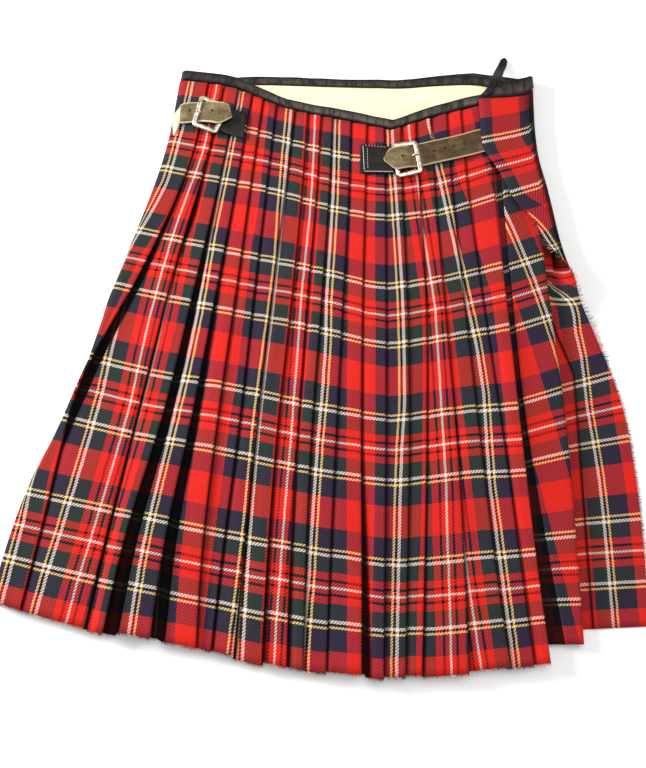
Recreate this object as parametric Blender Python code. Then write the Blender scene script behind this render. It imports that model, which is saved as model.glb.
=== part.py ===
"""A Scottish kilt laid flat on a table with its pleated back uppermost.

+X runs across the kilt towards its right-hand fold, +Y runs from the hem to the waist and +Z is up.
Lengths in the tables are in millimetres. The kilt is wound in layers: the over-apron lies on the table,
the under-apron on it, and the knife-pleated back on top. At the right hip the over-apron's top corner
turns round the fold onto the back, where its strap is buckled.
"""

import math
from collections import namedtuple

import bmesh
import bpy
import numpy as np
from mathutils import Vector

# ---------------------------------------------------------------- driving dimensions, in millimetres
MM = 0.001
CLOTH = 1.0            # worsted cloth, as a wall
APRON = 1.2            # the aprons' wall
FOLD_R = 0.8           # half the pitch of two layers at a pressed fold
HIDDEN = 12.0          # cloth hidden behind a pleat's edge, at most
SEAM = 0.3             # gap between pieces that are sewn together
BAND = 12.0            # width of the waist binding
OVER_Z = 0.6           # height of the over-apron's middle surface
UNDER_Z = 3.6          # height of the under-apron's middle surface
LINING_Z = 5.1         # height of the lining's middle surface
FLOOR_Z = 6.8          # lowest that the pleats lie, on the lining and aprons
CREST_WAIST = 11.5     # height of the pleats' top layer where they are stitched down
CREST_HEM = 14.5       # the same at the loose hem
APRON_TURN = 26.4      # length of cloth in the over-apron's turn round the right hip
STRAP_W = 29.0
STRAP_T = 2.2
LENGTH = 597.0         # waist edge to hem, down the cloth

# One row for each line across the kilt that follows the weft. down is the length of cloth below the
# waist edge. The line starts at the left fold, dips to its lowest point and rises to the last pleat.
# Between the left fold and the lowest point, far_y, half_y and near_y are its heights at quarters of the
# way; mid_y is the height half way from the lowest point to the last pleat.
Row = namedtuple("Row", "name down left_x left_y far_y half_y near_y low_x low_y mid_y right_x right_y")
ROWS = [
    Row("waist", 0, -163, 336, 326.6, 298.4, 284.8, 80, 270.8, 291.4, 190, 306),
    Row("yoke", 88, -175, 244.2, 230.7, 215.6, 195.6, 66, 182.5, 191.2, 193, 210.4),
    Row("hip", 232, -215, 102.6, 86.0, 69.3, 54.6, 65, 33.7, 44.7, 197, 58.6),
    Row("thigh", 377, -262, -42.0, -63.5, -78.2, -97.8, 73, -111.2, -102.3, 205, -98.8),
    Row("knee", 521, -310, -184.1, -204.6, -224.9, -242.7, 75, -256.8, -250.8, 212, -243.8),
    Row("hem", 597, -327, -260.2, -286.1, -303.3, -324.1, 75, -331.7, -326.4, 219, -316.8),
]

# One row for each pleat, from the left: where its pressed edge lies on each line of ROWS. opens says how
# far the valley beside it stands open, as pairs of a length down the cloth and a width.
Pleat = namedtuple("Pleat", "waist yoke hip thigh knee hem opens")
PLEATS = [
    Pleat(-130.5, -144.5, -191, -253, -281, -295, ((232, 3.0), (377, 8.0), (440, 0.5), (597, 0.5))),
    Pleat(-111.6, -127.5, -160, -189, -217, -231, ((122, 0.5), (165, 3.5), (214, 0.5), (597, 1.5))),
    Pleat(-95, -109.5, -135, -163, -198, -212, ((232, 4.0), (377, 7.0), (597, 13.0))),
    Pleat(-79.5, -91.5, -112, -134, -158, -166, ((232, 1.0), (377, 5.0), (450, 7.0), (597, 12.0))),
    Pleat(-67, -77, -92, -108, -120, -122, ((232, 0.4),)),
    Pleat(-52, -60, -73, -86, -101, -108, ((232, 0.4), (597, 0.8))),
    Pleat(-35, -42, -55, -68, -80, -86, ((377, 0.4), (597, 1.2))),
    Pleat(-17, -22, -33, -47, -56, -59, ((232, 0.3), (377, 0.8), (597, 2.5))),
    Pleat(-1, -6, -16, -26, -33, -35, ((377, 0.3), (597, 2.0))),
    Pleat(15, 11, 2, -10, -17, -19, ((232, 0.4),)),
    Pleat(32, 29, 21, 13, 6, 3, ((232, 0.4),)),
    Pleat(50, 47, 42, 39, 38, 37, ((232, 0.3), (377, 1.0), (597, 8.0))),
    Pleat(69, 69, 67, 64, 60, 58, ((377, 0.3), (597, 0.8))),
    Pleat(88, 88, 90, 88, 82, 79, ((232, 0.4),)),
    Pleat(105, 107, 110, 106, 99, 95, ((377, 0.4), (597, 1.2))),
    Pleat(122, 124, 130, 137, 140, 140, ((232, 0.4),)),
    Pleat(140, 143, 151, 161, 172, 180, ((232, 0.4),)),
    Pleat(156, 160, 171, 185, 197, 203, ((232, 0.3), (597, 0.8))),
    Pleat(183, 189, 196, 204, 213, 219, ((232, 0.3),)),
]

# The under-apron shows as one deep pleat right of the back. fold_x is its outer fold, back_x the edge
# of its reversed pleat, edge_y the height of the weft line at the fold, and tilt that line's slope.
Under = namedtuple("Under", "down fold_x back_x edge_y tilt")
UNDER = [
    Under(0, 230, 199, 322, 0.40),
    Under(88, 234, 200, 226, 0.35),
    Under(232, 243, 204, 70, 0.33),
    Under(377, 252, 212, -79, 0.28),
    Under(521, 254, 227, -227, 0.05),
    Under(597, 254, 236, -301, 0.00),
]

# The over-apron's right side. side_x is how far it reaches, turn how far its edge is turned up and over,
# in degrees, and flap the length of cloth beyond the turn. The edge lies flat on the table below the hip.
# tilt is the slope of the flap's weft lines, and roll how far they fall away beside the turn.
Over = namedtuple("Over", "down side_x side_y turn flap drop tilt roll")
OVER = [
    Over(0, 241, 330, 180, 56, 12, 0.22, 0.0),
    Over(12, 241, 318, 180, 55.5, 12.8, 0.04, 8.0),
    Over(31, 240.5, 299, 180, 54.5, 14.0, 0.17, 6.0),
    Over(62, 240, 268, 180, 52, 16, 0.22, 5.5),
    Over(94, 242, 234, 180, 37, 18, 0.29, 1.0),
    Over(129, 249, 198, 180, 29, 18, 0.33, 0.0),
    Over(154, 253, 172, 180, 16, 16, 0.33, 0.0),
    Over(188, 258, 136, 178, 7, 12, 0.33, 0.0),
    Over(225, 265, 98, 120, 4, 7, 0.22, 0.0),
    Over(262, 275, 60, 40, 4, 3, 0.07, 0.0),
    Over(297, 289.5, 22, 8, 4, 0, 0.01, 0.0),
    Over(377, 311.5, -61, 0, 4, 0, 0.0, 0.0),
    Over(450, 319, -136, 0, 4, 0, 0.0, 0.0),
    Over(521, 320.5, -209, 0, 4, 0, 0.0, 0.0),
    Over(597, 321, -284, 0, 4, 0, 0.0, 0.0),
]

# How far down the cloth each section of the solids is taken.
BACK_DOWNS = [12.7, 50, 88, 122, 165, 232, 300, 377, 450, 521, 560, LENGTH]
APRON_DOWNS = [12.3, 35, 62, 94, 129, 154, 188, 225, 262, 297, 377, 450, 521, LENGTH]


# ---------------------------------------------------------------- reading the tables
def read(table, column, down):
    """The value of a column at a length down the cloth, on a smooth curve through the table's rows."""
    x = np.array([row.down for row in table], float)
    y = np.array([getattr(row, column) for row in table], float)
    return smooth(x, y, down)


def smooth(x, y, at):
    """A cubic curve through the points (x, y), read at one place."""
    slope = np.gradient(y, x)
    i = int(np.clip(np.searchsorted(x, at) - 1, 0, len(x) - 2))
    step = x[i + 1] - x[i]
    t = (at - x[i]) / step
    a = (1 + 2 * t) * (1 - t) ** 2 * y[i] + t * t * (3 - 2 * t) * y[i + 1]
    b = t * (1 - t) ** 2 * slope[i] + t * t * (t - 1) * slope[i + 1]
    return float(a + step * b)


def weft_curve(x, value):
    """How high a weft line lies at x, from the stations in its row of the table."""
    if x < value["low_x"]:
        share = (value["low_x"] - x) / (value["low_x"] - value["left_x"])
        stations = np.array([0, 0.25, 0.5, 0.75, 1])
        heights = np.array([value[c] for c in ("low_y", "near_y", "half_y", "far_y", "left_y")])
    else:
        share = (x - value["low_x"]) / (value["right_x"] - value["low_x"])
        stations = np.array([0, 0.5, 1])
        heights = np.array([value[c] for c in ("low_y", "mid_y", "right_y")])
    if share > 1:
        return heights[-1] + (share - 1) * (heights[-1] - heights[-2]) / (stations[-1] - stations[-2])
    return smooth(stations, heights, share)


def weft_y(x, down):
    """How high a weft line of the back lies at x. Its lowest place is a sharp corner only at the waist."""
    value = {c: read(ROWS, c, down) for c in Row._fields[2:]}
    soft = 14 * min(1.0, down / 150)
    beside = weft_curve(x - soft, value) + weft_curve(x + soft, value)
    return 0.5 * weft_curve(x, value) + 0.25 * beside


def apron_dip(down):
    """How far below the back's waist edge the aprons lie at the left fold."""
    return 7 * max(0.0, 1 - down / 88)


def pleat_x(index, down):
    """Where a pleat's pressed edge lies."""
    downs = np.array([row.down for row in ROWS], float)
    return smooth(downs, np.array(PLEATS[index][:6], float), down)


def pleat_open(index, down):
    """How wide the valley right of a pleat stands open."""
    pairs = ((0, 0.0), (110, 0.0)) + PLEATS[index].opens
    return float(np.interp(down, [pair[0] for pair in pairs], [pair[1] for pair in pairs]))


def crest(index, down):
    """Height of a pleat's top layer: pressed flat at the waist, uneven and higher where it hangs loose."""
    loose = float(np.clip((down - 110) / 160, 0, 1))
    flat = CREST_WAIST + (CREST_HEM - CREST_WAIST) * loose
    uneven = 0.7 * math.sin(2.1 * index + 0.7) + 0.5 * math.sin(0.9 * index + down / 85)
    beside = max(pleat_open(index, down), 0.6 * pleat_open(max(index - 1, 0), down))
    return flat + loose * (uneven + 0.55 * beside)


# ---------------------------------------------------------------- sections across the kilt, as (x, z)
def back_section(down):
    """The pleated back: up round the left fold, then each pleat's face, pressed edge and hidden return."""
    left = read(ROWS, "left_x", down)
    first = pleat_x(0, down)
    reach = min(1.0, (first - left) / 18)
    top = crest(0, down)
    points = [
        (left + 9, CLOTH / 2),
        (left + 4, CLOTH / 2 + 0.4),
        (left + 0.8, 3.4),
        (left, 6.6),
        (left + 2.4 * reach, top - 2.2),
        (left + 6 * reach, top - 0.6),
    ]
    floor = top
    emerge = left
    for k in range(len(PLEATS)):
        edge = pleat_x(k, down)
        top = crest(k, down)
        face = edge - emerge
        hidden = min(HIDDEN, 0.42 * face)
        if k > 0:
            wide = pleat_open(k - 1, down)
            bank = min(3.0, 0.2 * face)
            climb = floor + (top - floor) * min(0.45 + 0.04 * wide, 0.8)
            points.append((emerge, floor))
            points.append((emerge + bank, climb))
        sink = min(0.5, 0.04 * face)
        points.append((edge - hidden, top - sink))
        points.append((edge - FOLD_R, top))
        points.append((edge, top - FOLD_R))
        points.append((edge - FOLD_R, top - 2 * FOLD_R))
        wide = pleat_open(k, down)
        floor = max(FLOOR_Z, top - sink - 4 * FOLD_R - 1.3 * wide)
        inner = edge - hidden
        points.append((inner + FOLD_R, floor + 2 * FOLD_R))
        if k == len(PLEATS) - 1:
            break
        points.append((inner, floor + FOLD_R))
        points.append((inner + FOLD_R, floor))
        emerge = edge + wide
    return points


def under_section(down):
    """The under-apron: a reversed pleat beside the back, the outer fold, then flat beneath to the left."""
    fold = read(UNDER, "fold_x", down)
    back = read(UNDER, "back_x", down)
    start = pleat_x(len(PLEATS) - 1, down) - 8
    tuck = back + 0.45 * (fold - back)
    top = FLOOR_Z + 4 * FOLD_R
    radius = (top - UNDER_Z) / 2
    points = [
        (start, FLOOR_Z),
        (back, FLOOR_Z),
        (tuck - FOLD_R, FLOOR_Z),
        (tuck, FLOOR_Z + FOLD_R),
        (tuck - FOLD_R, FLOOR_Z + 2 * FOLD_R),
        (back + FOLD_R, top - 2 * FOLD_R),
        (back, top - FOLD_R),
        (back + FOLD_R, top),
        (tuck, top),
    ]
    for angle in (90, 45, 0, -45, -90):
        turn = math.radians(angle)
        along = fold - radius + radius * math.cos(turn)
        points.append((along, UNDER_Z + radius + radius * math.sin(turn)))
    left = read(ROWS, "left_x", down) + 25
    for share in (0.3, 0.65, 1.0):
        points.append((fold - radius + share * (left - fold + radius), UNDER_Z))
    return points


def over_section(down, steps=6, z=OVER_Z):
    """The over-apron: flat on the table, and turned up and over at its right side."""
    left = read(ROWS, "left_x", down) + 9 + SEAM
    side = read(OVER, "side_x", down)
    turn = math.radians(max(read(OVER, "turn", down), 0.5))
    flap = read(OVER, "flap", down)
    radius = APRON_TURN / turn
    if turn > math.pi / 2:
        start = side - radius
    else:
        start = side - radius * math.sin(turn) - flap * math.cos(turn)
    points = [(left + share * (start - left), z) for share in (0, 0.25, 0.5, 0.75)]
    for i in range(steps + 1):
        a = turn * i / steps
        points.append((start + radius * math.sin(a), z + radius * (1 - math.cos(a))))
    end = points[-1]
    for share in (0.5, 1.0):
        reach = share * flap
        points.append((end[0] + reach * math.cos(turn), end[1] + reach * math.sin(turn)))
    return points


# ---------------------------------------------------------------- where the sections lie along the kilt
def under_y(i, x, down):
    """How high the under-apron's weft line lies at x, on its top part or beneath."""
    fold = read(UNDER, "fold_x", down)
    edge_y = read(UNDER, "edge_y", down)
    if i < 12:
        return edge_y - read(UNDER, "tilt", down) * (fold - x)
    left = read(ROWS, "left_x", down)
    left_y = read(ROWS, "left_y", down) - apron_dip(down)
    middle_y = OVER[0].side_y + 2 - down
    return float(np.interp(x, [left, 65, fold], [left_y, middle_y, edge_y]))


def flap_fall(down, reach):
    """How far the flap's weft line has fallen at a distance from the turned side."""
    return read(OVER, "tilt", down) * reach + read(OVER, "roll", down) * (1 - math.exp(-reach / 8))


def strip_fall(x, down):
    """How far the weft falls away from the over-apron's free edge, where it lies flat beside the under-apron."""
    slope = float(np.interp(down, [262, 297, 377, 412, 450, 521, 597], [0, 0.38, 0.30, 0.24, 0.20, 0.14, 0.12]))
    side = read(OVER, "side_x", down)
    return slope * float(np.interp(x, [65, 250, side], [0, side - 250, 0]))


def over_y(i, x, down, steps=6):
    """How high the over-apron's weft line lies at x, on the table, round the turn or on the flap."""
    left = read(ROWS, "left_x", down)
    left_y = weft_y(left + 9, down) - apron_dip(down)
    side = read(OVER, "side_x", down)
    side_y = read(OVER, "side_y", down)
    middle_y = OVER[0].side_y + 2 - down
    flat = float(np.interp(x, [left + 9, 65, side], [left_y, middle_y, side_y])) - strip_fall(x, down)
    if i < 4:
        return flat
    share = min((i - 4) / steps, 1.0)
    lies = float(np.clip((down - 262) / 35, 0, 1))
    return side_y + lies * (flat - side_y) - share * read(OVER, "drop", down) - share * flap_fall(down, side - x)


# ---------------------------------------------------------------- making solids
def material(name, colour, roughness, metallic=0.0):
    made = bpy.data.materials.new(name)
    made.use_nodes = True
    shader = made.node_tree.nodes["Principled BSDF"]
    shader.inputs["Base Color"].default_value = (*colour, 1)
    shader.inputs["Roughness"].default_value = roughness
    shader.inputs["Metallic"].default_value = metallic
    made.diffuse_color = (*colour, 1)
    return made


def solid(name, points, faces, finish):
    """An object from points in millimetres."""
    mesh = bpy.data.meshes.new(name)
    mesh.from_pydata([tuple(c * MM for c in p) for p in points], [], faces)
    mesh.materials.append(finish)
    body = bmesh.new()
    body.from_mesh(mesh)
    bmesh.ops.recalc_face_normals(body, faces=body.faces)
    body.to_mesh(mesh)
    body.free()
    obj = bpy.data.objects.new(name, mesh)
    bpy.context.scene.collection.objects.link(obj)
    return obj


def wall(name, rows, thickness, finish):
    """A closed wall about the middle surface that the rows give, each row a list of (x, y, z)."""
    if np.isscalar(thickness):
        thickness = [thickness] * len(rows)
    count = len(rows[0])
    points = []
    for row, thick in zip(rows, thickness):
        line = np.array(row, float)
        across = np.diff(line[:, [0, 2]], axis=0)
        across /= np.linalg.norm(across, axis=1)[:, None]
        before = np.vstack([across[:1], across])
        after = np.vstack([across, across[-1:]])
        normal = np.stack([-(before + after)[:, 1], (before + after)[:, 0]], axis=1)
        normal /= np.linalg.norm(normal, axis=1)[:, None]
        miter = np.clip((normal * np.stack([-after[:, 1], after[:, 0]], axis=1)).sum(axis=1), 0.7, 1)
        for side in (1, -1):
            shift = normal * (side * thick / 2 / miter)[:, None]
            moved = line.copy()
            moved[:, [0, 2]] += shift
            points.extend(map(tuple, moved))
    faces = []
    for j in range(len(rows) - 1):
        a, b = 2 * count * j, 2 * count * (j + 1)
        for i in range(count - 1):
            faces.append((a + i, a + i + 1, b + i + 1, b + i))
            faces.append((a + count + i, b + count + i, b + count + i + 1, a + count + i + 1))
        for i in (0, count - 1):
            faces.append((a + i, b + i, b + count + i, a + count + i))
    for a in (0, 2 * count * (len(rows) - 1)):
        for i in range(count - 1):
            faces.append((a + i, a + i + 1, a + count + i + 1, a + count + i))
    return solid(name, points, faces, finish)


def ribbon(name, stations, finish):
    """A strap of rectangular section. Each station is (x, y, z, width, thickness, side direction)."""
    points = []
    line = np.array([s[:3] for s in stations], float)
    run = np.gradient(line, axis=0)
    for place, along, station in zip(line, run, stations):
        width, thick, side = station[3:6]
        along = Vector(along).normalized()
        side = Vector(side).normalized()
        up = along.cross(side).normalized()
        if up.z < -0.2 or (abs(up.z) <= 0.2 and up.dot(Vector((place[0], 0, 0))) < 0):
            up = -up
        for a, b in ((1, 1), (-1, 1), (-1, -1), (1, -1)):
            points.append(tuple(Vector(place) + a * width / 2 * side + b * thick / 2 * up))
    faces = [(0, 1, 2, 3)]
    for j in range(len(stations) - 1):
        for i in range(4):
            k = (i + 1) % 4
            faces.append((4 * j + i, 4 * j + k, 4 * j + 4 + k, 4 * j + 4 + i))
    last = 4 * (len(stations) - 1)
    faces.append((last, last + 1, last + 2, last + 3))
    return solid(name, points, faces, finish)


def rows_of(section, y_of, downs):
    """The section's points at each length down the cloth, as rows of (x, y, z)."""
    rows = []
    for down in downs:
        flat = section(down)
        rows.append([(x, y_of(i, x, down), z) for i, (x, z) in enumerate(flat)])
    return rows


# ---------------------------------------------------------------- the cloth
def make_cloth(tartan):
    back = rows_of(back_section, lambda i, x, down: weft_y(x, down), BACK_DOWNS)
    wall("pleated_back", back, CLOTH, tartan)
    wall("under_apron", rows_of(under_section, under_y, BACK_DOWNS), CLOTH, tartan)
    wall("over_apron", rows_of(over_section, over_y, APRON_DOWNS), APRON, tartan)


def make_lining(cotton):
    """Cream lining on the under-apron's inner side, below the waist binding."""
    rows = []
    for down in (BAND + SEAM, 60, 110, 150):
        left = read(ROWS, "left_x", down) + 30
        right = read(UNDER, "fold_x", down) - 10
        xs = np.linspace(left, right, 5)
        rows.append([(x, under_y(20, x, down), LINING_Z) for x in xs])
    wall("lining", rows, CLOTH, cotton)


# ---------------------------------------------------------------- the waist binding
def binding(name, section, y_of, thick, finish):
    """A bound edge along the top of a section: full in the middle and thinner at its own two edges."""
    downs = [0.0, 1.5, BAND - 1.5, BAND]
    rows = rows_of(section, y_of, downs)
    wall(name, rows, [0.7 * thick, thick, thick, 0.85 * thick], finish)


def back_band_section(down):
    """The back's binding, from its rounded left end over the stitched pleats to the right hip."""
    left = read(ROWS, "left_x", down)
    middle = CREST_WAIST - 1.4
    points = [(left + 2.6, 5.6), (left + 2.9, 7.4), (left + 4.4, 9.2), (left + 8, middle)]
    points += [(x, middle) for x in np.linspace(left + 20, 32, 9)]
    points += [(x, middle) for x in np.linspace(40, 120, 13)]
    points += [(x, middle) for x in (132, 145, 158, 171, 184, 198.9, 210, 222)]
    return points


def back_band_y(i, x, down):
    if x > pleat_x(len(PLEATS) - 1, down) + 9:
        return under_y(0, x, down)
    return weft_y(x, down)


def front_band_section(down):
    """The over-apron's binding, which turns with the cloth at the right hip."""
    return over_section(down, steps=6, z=1.3)


def under_band_section(down):
    left = read(ROWS, "left_x", down) + 26
    right = read(UNDER, "fold_x", down) - 3
    return [(x, UNDER_Z + 0.5) for x in np.linspace(left, right, 5)]


def make_binding(ribbon_cloth):
    binding("band_back", back_band_section, back_band_y, 4.6, ribbon_cloth)
    binding("band_front", front_band_section, over_y, 2.4, ribbon_cloth)
    binding("band_under", under_band_section, lambda i, x, d: under_y(20, x, d), 2.6, ribbon_cloth)
    side = (1, -0.18, 0)
    ribbon("hanger_loop", [
        (197, 296, 20.4, 11, 1.6, side), (199, 308, 20.4, 10.5, 1.6, side),
        (200.5, 317, 18.8, 10, 1.6, side), (203, 328, 13.2, 9, 1.6, side),
        (206, 339, 6.6, 8, 1.6, side), (209, 349, 2.6, 6.5, 1.8, side),
        (211, 356, 1.4, 4.5, 1.8, side),
    ], ribbon_cloth)


# ---------------------------------------------------------------- straps and buckles
# centre of the buckle frame, the direction in degrees that its strap comes from, and frame size
Buckle = namedtuple("Buckle", "name x y strap_angle width height")
BUCKLES = [
    Buckle("right", 94, 218.5, 15.0, 31, 39),
    Buckle("left", -128, 273.5, 163.0, 36, 40),
]
TAB_Z = 13.6           # middle of the leather tab that holds a buckle
STRAP_Z = 14.2         # middle of a strap where it lies on the pleats
BAR = 4.4              # width of a buckle's bars
BAR_T = 2.6            # their thickness


def frame_of(buckle):
    """Unit vectors in the plan: along towards the strap's root, and across it."""
    angle = math.radians(buckle.strap_angle)
    along = np.array([math.cos(angle), math.sin(angle), 0.0])
    return along, np.array([-along[1], along[0], 0.0])


def make_buckle(buckle, nickel):
    """A rectangular frame. Its heel bar lies on the tab and its front bar rides up over the strap."""
    along, across = frame_of(buckle)
    centre = np.array([buckle.x, buckle.y, 17.4])
    tilt = 2.2 / buckle.width
    outline = []
    for sx, sy, start in ((1, 1, 0), (-1, 1, 90), (-1, -1, 180), (1, -1, 270)):
        for angle in (start, start + 45, start + 90):
            turn = math.radians(angle)
            round_r = 3.0
            px = sx * (buckle.width / 2 - BAR / 2 - round_r) + round_r * math.cos(turn)
            py = sy * (buckle.height / 2 - BAR / 2 - round_r) + round_r * math.sin(turn)
            outline.append((px, py))
    loop = np.array([centre + px * along + py * across + (0, 0, px * tilt) for px, py in outline])
    points, faces = [], []
    sides = 6
    for i, place in enumerate(loop):
        run = loop[(i + 1) % len(loop)] - loop[i - 1]
        out = np.cross(run / np.linalg.norm(run), (0, 0, 1))
        for j in range(sides):
            turn = 2 * math.pi * (j + 0.5) / sides
            points.append(place + out * BAR / 2 * math.cos(turn) + np.array([0, 0, BAR_T / 2 * math.sin(turn)]))
    for i in range(len(loop)):
        a, b = sides * i, sides * ((i + 1) % len(loop))
        for j in range(sides):
            k = (j + 1) % sides
            faces.append((a + j, a + k, b + k, b + j))
    solid("buckle_" + buckle.name, [tuple(p) for p in points], faces, nickel)


def make_prong(buckle, nickel):
    """The tongue: its tip comes up through the strap's hole and rests on the front bar."""
    along, across = frame_of(buckle)
    front = buckle.width / 2 - BAR / 2
    stations = []
    for reach, z, width in ((front - 5.6, 17.4, 1.6), (front - 3.4, 19.6, 1.8),
                            (front - 1.0, 20.9, 1.8), (front + 1.6, 21.0, 1.2)):
        place = np.array([buckle.x, buckle.y, z]) + along * reach
        stations.append((*place, width, 1.4, tuple(across)))
    ribbon("prong_" + buckle.name, stations, nickel)


def make_tab(buckle, length, leather):
    """The chape: a leather tab stitched to the cloth, with the buckle's heel bar in its end."""
    along, across = frame_of(buckle)
    heel = -(buckle.width / 2) + 2.5
    stations = []
    for reach in (heel - length, heel - 0.5 * length, heel):
        place = np.array([buckle.x, buckle.y, TAB_Z]) + along * reach
        stations.append((*place, STRAP_W + 1, 1.8, tuple(across)))
    ribbon("tab_" + buckle.name, stations, leather)


def make_strap(buckle, root, leather):
    """The strap: pointed tip over the heel bar, under the front bar, then on the pleats to its root."""
    along, across = frame_of(buckle)
    half = buckle.width / 2
    profile = [
        (-half - 11.0, 17.6, 3.0), (-half - 7.0, 18.2, 15.0), (-half - 3.0, 18.9, 26.0),
        (-half + 2.0, 19.6, STRAP_W - 1), (-half + 8.0, 18.9, STRAP_W - 1),
        (half - 9.0, 16.0, STRAP_W), (half - 3.0, 14.7, STRAP_W), (half + 6.0, STRAP_Z, STRAP_W),
    ]
    stations = []
    for reach, z, width in profile:
        place = np.array([buckle.x, buckle.y, z]) + along * reach
        stations.append((*place, width, STRAP_T, tuple(across)))
    for x, y, z, width, side in root:
        stations.append((x, y, z, width, STRAP_T, side))
    ribbon("strap_" + buckle.name, stations, leather)


def make_fastenings(nickel, black_leather, olive_leather):
    right, left = BUCKLES
    for buckle in BUCKLES:
        make_buckle(buckle, nickel)
        make_prong(buckle, nickel)
    make_tab(right, 36, black_leather)
    make_tab(left, 34, black_leather)
    side = tuple(frame_of(right)[1])
    make_strap(right, [(145, 231.5, 14.3, STRAP_W, side), (178, 241.5, 14.6, STRAP_W, (-0.3, 1, 0)),
                       (203, 248, 14.9, STRAP_W, (-0.25, 1, 0))], olive_leather)
    side = tuple(frame_of(left)[1])
    make_strap(left, [(-154, 278.5, 14.3, STRAP_W, side), (-159.5, 278.2, 14.0, STRAP_W, (-0.1, -1, 0)),
                      (-163.5, 277.5, 12.6, STRAP_W, (-0.05, -1, 0))], olive_leather)


# ---------------------------------------------------------------- the over-apron's fringe
FRINGE_FROM, FRINGE_TO = 282.0, 594.0
STRANDS = 78
STRAND_LONG = 7.0


def edge_of_apron(down):
    """The over-apron's free edge: its end point and the direction that the cloth runs on in."""
    ends = np.array([row[-2:] for row in rows_of(over_section, over_y, APRON_DOWNS)])
    last = [float(np.interp(down, APRON_DOWNS, ends[:, 1, axis])) for axis in range(3)]
    before = [float(np.interp(down, APRON_DOWNS, ends[:, 0, axis])) for axis in range(3)]
    run = np.array(last) - np.array(before)
    run[1] = 0
    run /= np.linalg.norm(run)
    return np.array(last), run, np.array([-run[2], 0, run[0]])


def make_fringe(tartan):
    """A narrow backing along the edge, with loose strands drawn out of its outer side."""
    points, faces = [], []
    count = 2 * STRANDS + 1
    for i in range(count):
        down = FRINGE_FROM + (FRINGE_TO - FRINGE_FROM) * i / (count - 1)
        edge, out, up = edge_of_apron(down)
        for reach, rise in ((0.3, 0.45), (1.6, 0.45), (1.6, -0.3), (0.3, -0.3)):
            points.append(edge + out * reach + up * rise)
    for i in range(count - 1):
        a, b = 4 * i, 4 * i + 4
        for j in range(4):
            k = (j + 1) % 4
            if j == 1 and i % 2 == 0:
                continue
            faces.append((a + j, a + k, b + k, b + j))
    faces.append((0, 1, 2, 3))
    faces.append(tuple(4 * (count - 1) + j for j in range(4)))
    for i in range(0, count - 1, 2):
        down = FRINGE_FROM + (FRINGE_TO - FRINGE_FROM) * (i + 0.5) / (count - 1)
        edge, out, up = edge_of_apron(down)
        long = STRAND_LONG * (0.8 + 0.3 * math.sin(1.7 * i) * math.cos(0.61 * i))
        sway = 1.2 * math.sin(2.3 * i)
        tip = len(points)
        droop = np.array([1.0, 1.0, 0.5])
        points.append(edge + out * 1.6 + out * long * droop + up * 0.1 + np.array([0, sway, 0]))
        ring = [4 * i + 1, 4 * i + 2, 4 * i + 6, 4 * i + 5]
        for j in range(4):
            faces.append((ring[j], ring[(j + 1) % 4], tip))
    solid("fringe", [tuple(p) for p in points], faces, tartan)


# ---------------------------------------------------------------- putting the kilt together
def stand_on_origin():
    """Moves every piece so that the kilt's box stands centred on the origin, with its underside at z 0."""
    pieces = [obj for obj in bpy.data.objects if obj.type == "MESH"]
    corners = np.array([v.co for obj in pieces for v in obj.data.vertices])
    low, high = corners.min(axis=0), corners.max(axis=0)
    shift = Vector((-(low[0] + high[0]) / 2, -(low[1] + high[1]) / 2, -low[2]))
    for obj in pieces:
        for vertex in obj.data.vertices:
            vertex.co += shift


def main():
    for obj in list(bpy.data.objects):
        bpy.data.objects.remove(obj, do_unlink=True)
    tartan = material("tartan_worsted", (0.55, 0.03, 0.04), 0.9)
    cotton = material("lining_cotton", (0.86, 0.80, 0.62), 0.85)
    binding_cloth = material("black_binding", (0.03, 0.028, 0.03), 0.55)
    olive_leather = material("strap_leather", (0.20, 0.15, 0.07), 0.5)
    black_leather = material("tab_leather", (0.02, 0.02, 0.02), 0.5)
    nickel = material("nickel", (0.75, 0.74, 0.70), 0.28, 1.0)
    make_cloth(tartan)
    make_lining(cotton)
    make_binding(binding_cloth)
    make_fastenings(nickel, black_leather, olive_leather)
    make_fringe(tartan)
    stand_on_origin()


main()
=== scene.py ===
# %% [markdown]
# # A tartan kilt, laid flat with its pleats up
# This lesson dresses a plain model of a kilt in cloth, leather and metal. The plain model is loaded
# first and stays as the frame: it says where each piece lies. Each piece of it that is listed at the end
# is replaced by a finer mesh made here, and hidden.

# %% Load the frame
import math
from collections import namedtuple
from functools import lru_cache

import bmesh
import bpy
import numpy as np
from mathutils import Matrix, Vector


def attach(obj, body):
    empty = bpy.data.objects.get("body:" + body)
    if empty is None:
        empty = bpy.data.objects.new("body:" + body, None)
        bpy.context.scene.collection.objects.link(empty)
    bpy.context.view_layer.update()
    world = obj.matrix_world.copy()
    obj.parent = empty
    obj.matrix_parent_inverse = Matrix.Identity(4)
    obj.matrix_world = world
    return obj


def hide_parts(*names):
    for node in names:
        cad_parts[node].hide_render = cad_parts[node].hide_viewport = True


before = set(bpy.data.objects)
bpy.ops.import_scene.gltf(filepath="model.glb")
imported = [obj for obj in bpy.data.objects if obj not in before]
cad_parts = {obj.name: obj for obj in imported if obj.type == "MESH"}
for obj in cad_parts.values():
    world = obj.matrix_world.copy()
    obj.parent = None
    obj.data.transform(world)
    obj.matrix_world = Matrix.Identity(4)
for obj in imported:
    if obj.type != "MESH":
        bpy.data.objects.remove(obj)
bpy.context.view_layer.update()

MM = 0.001
SHIFT = np.array([-1.235, -12.72, 0.0])     # from the tables' frame to the middle of the footprint

# %% [markdown]
# ## Where we look from
# A kilt laid out on a table is seen from nearly above, a little from the hem's side. The camera is
# placed by its height, its distance back and its tilt, so that the view can be worked out again.

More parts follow.
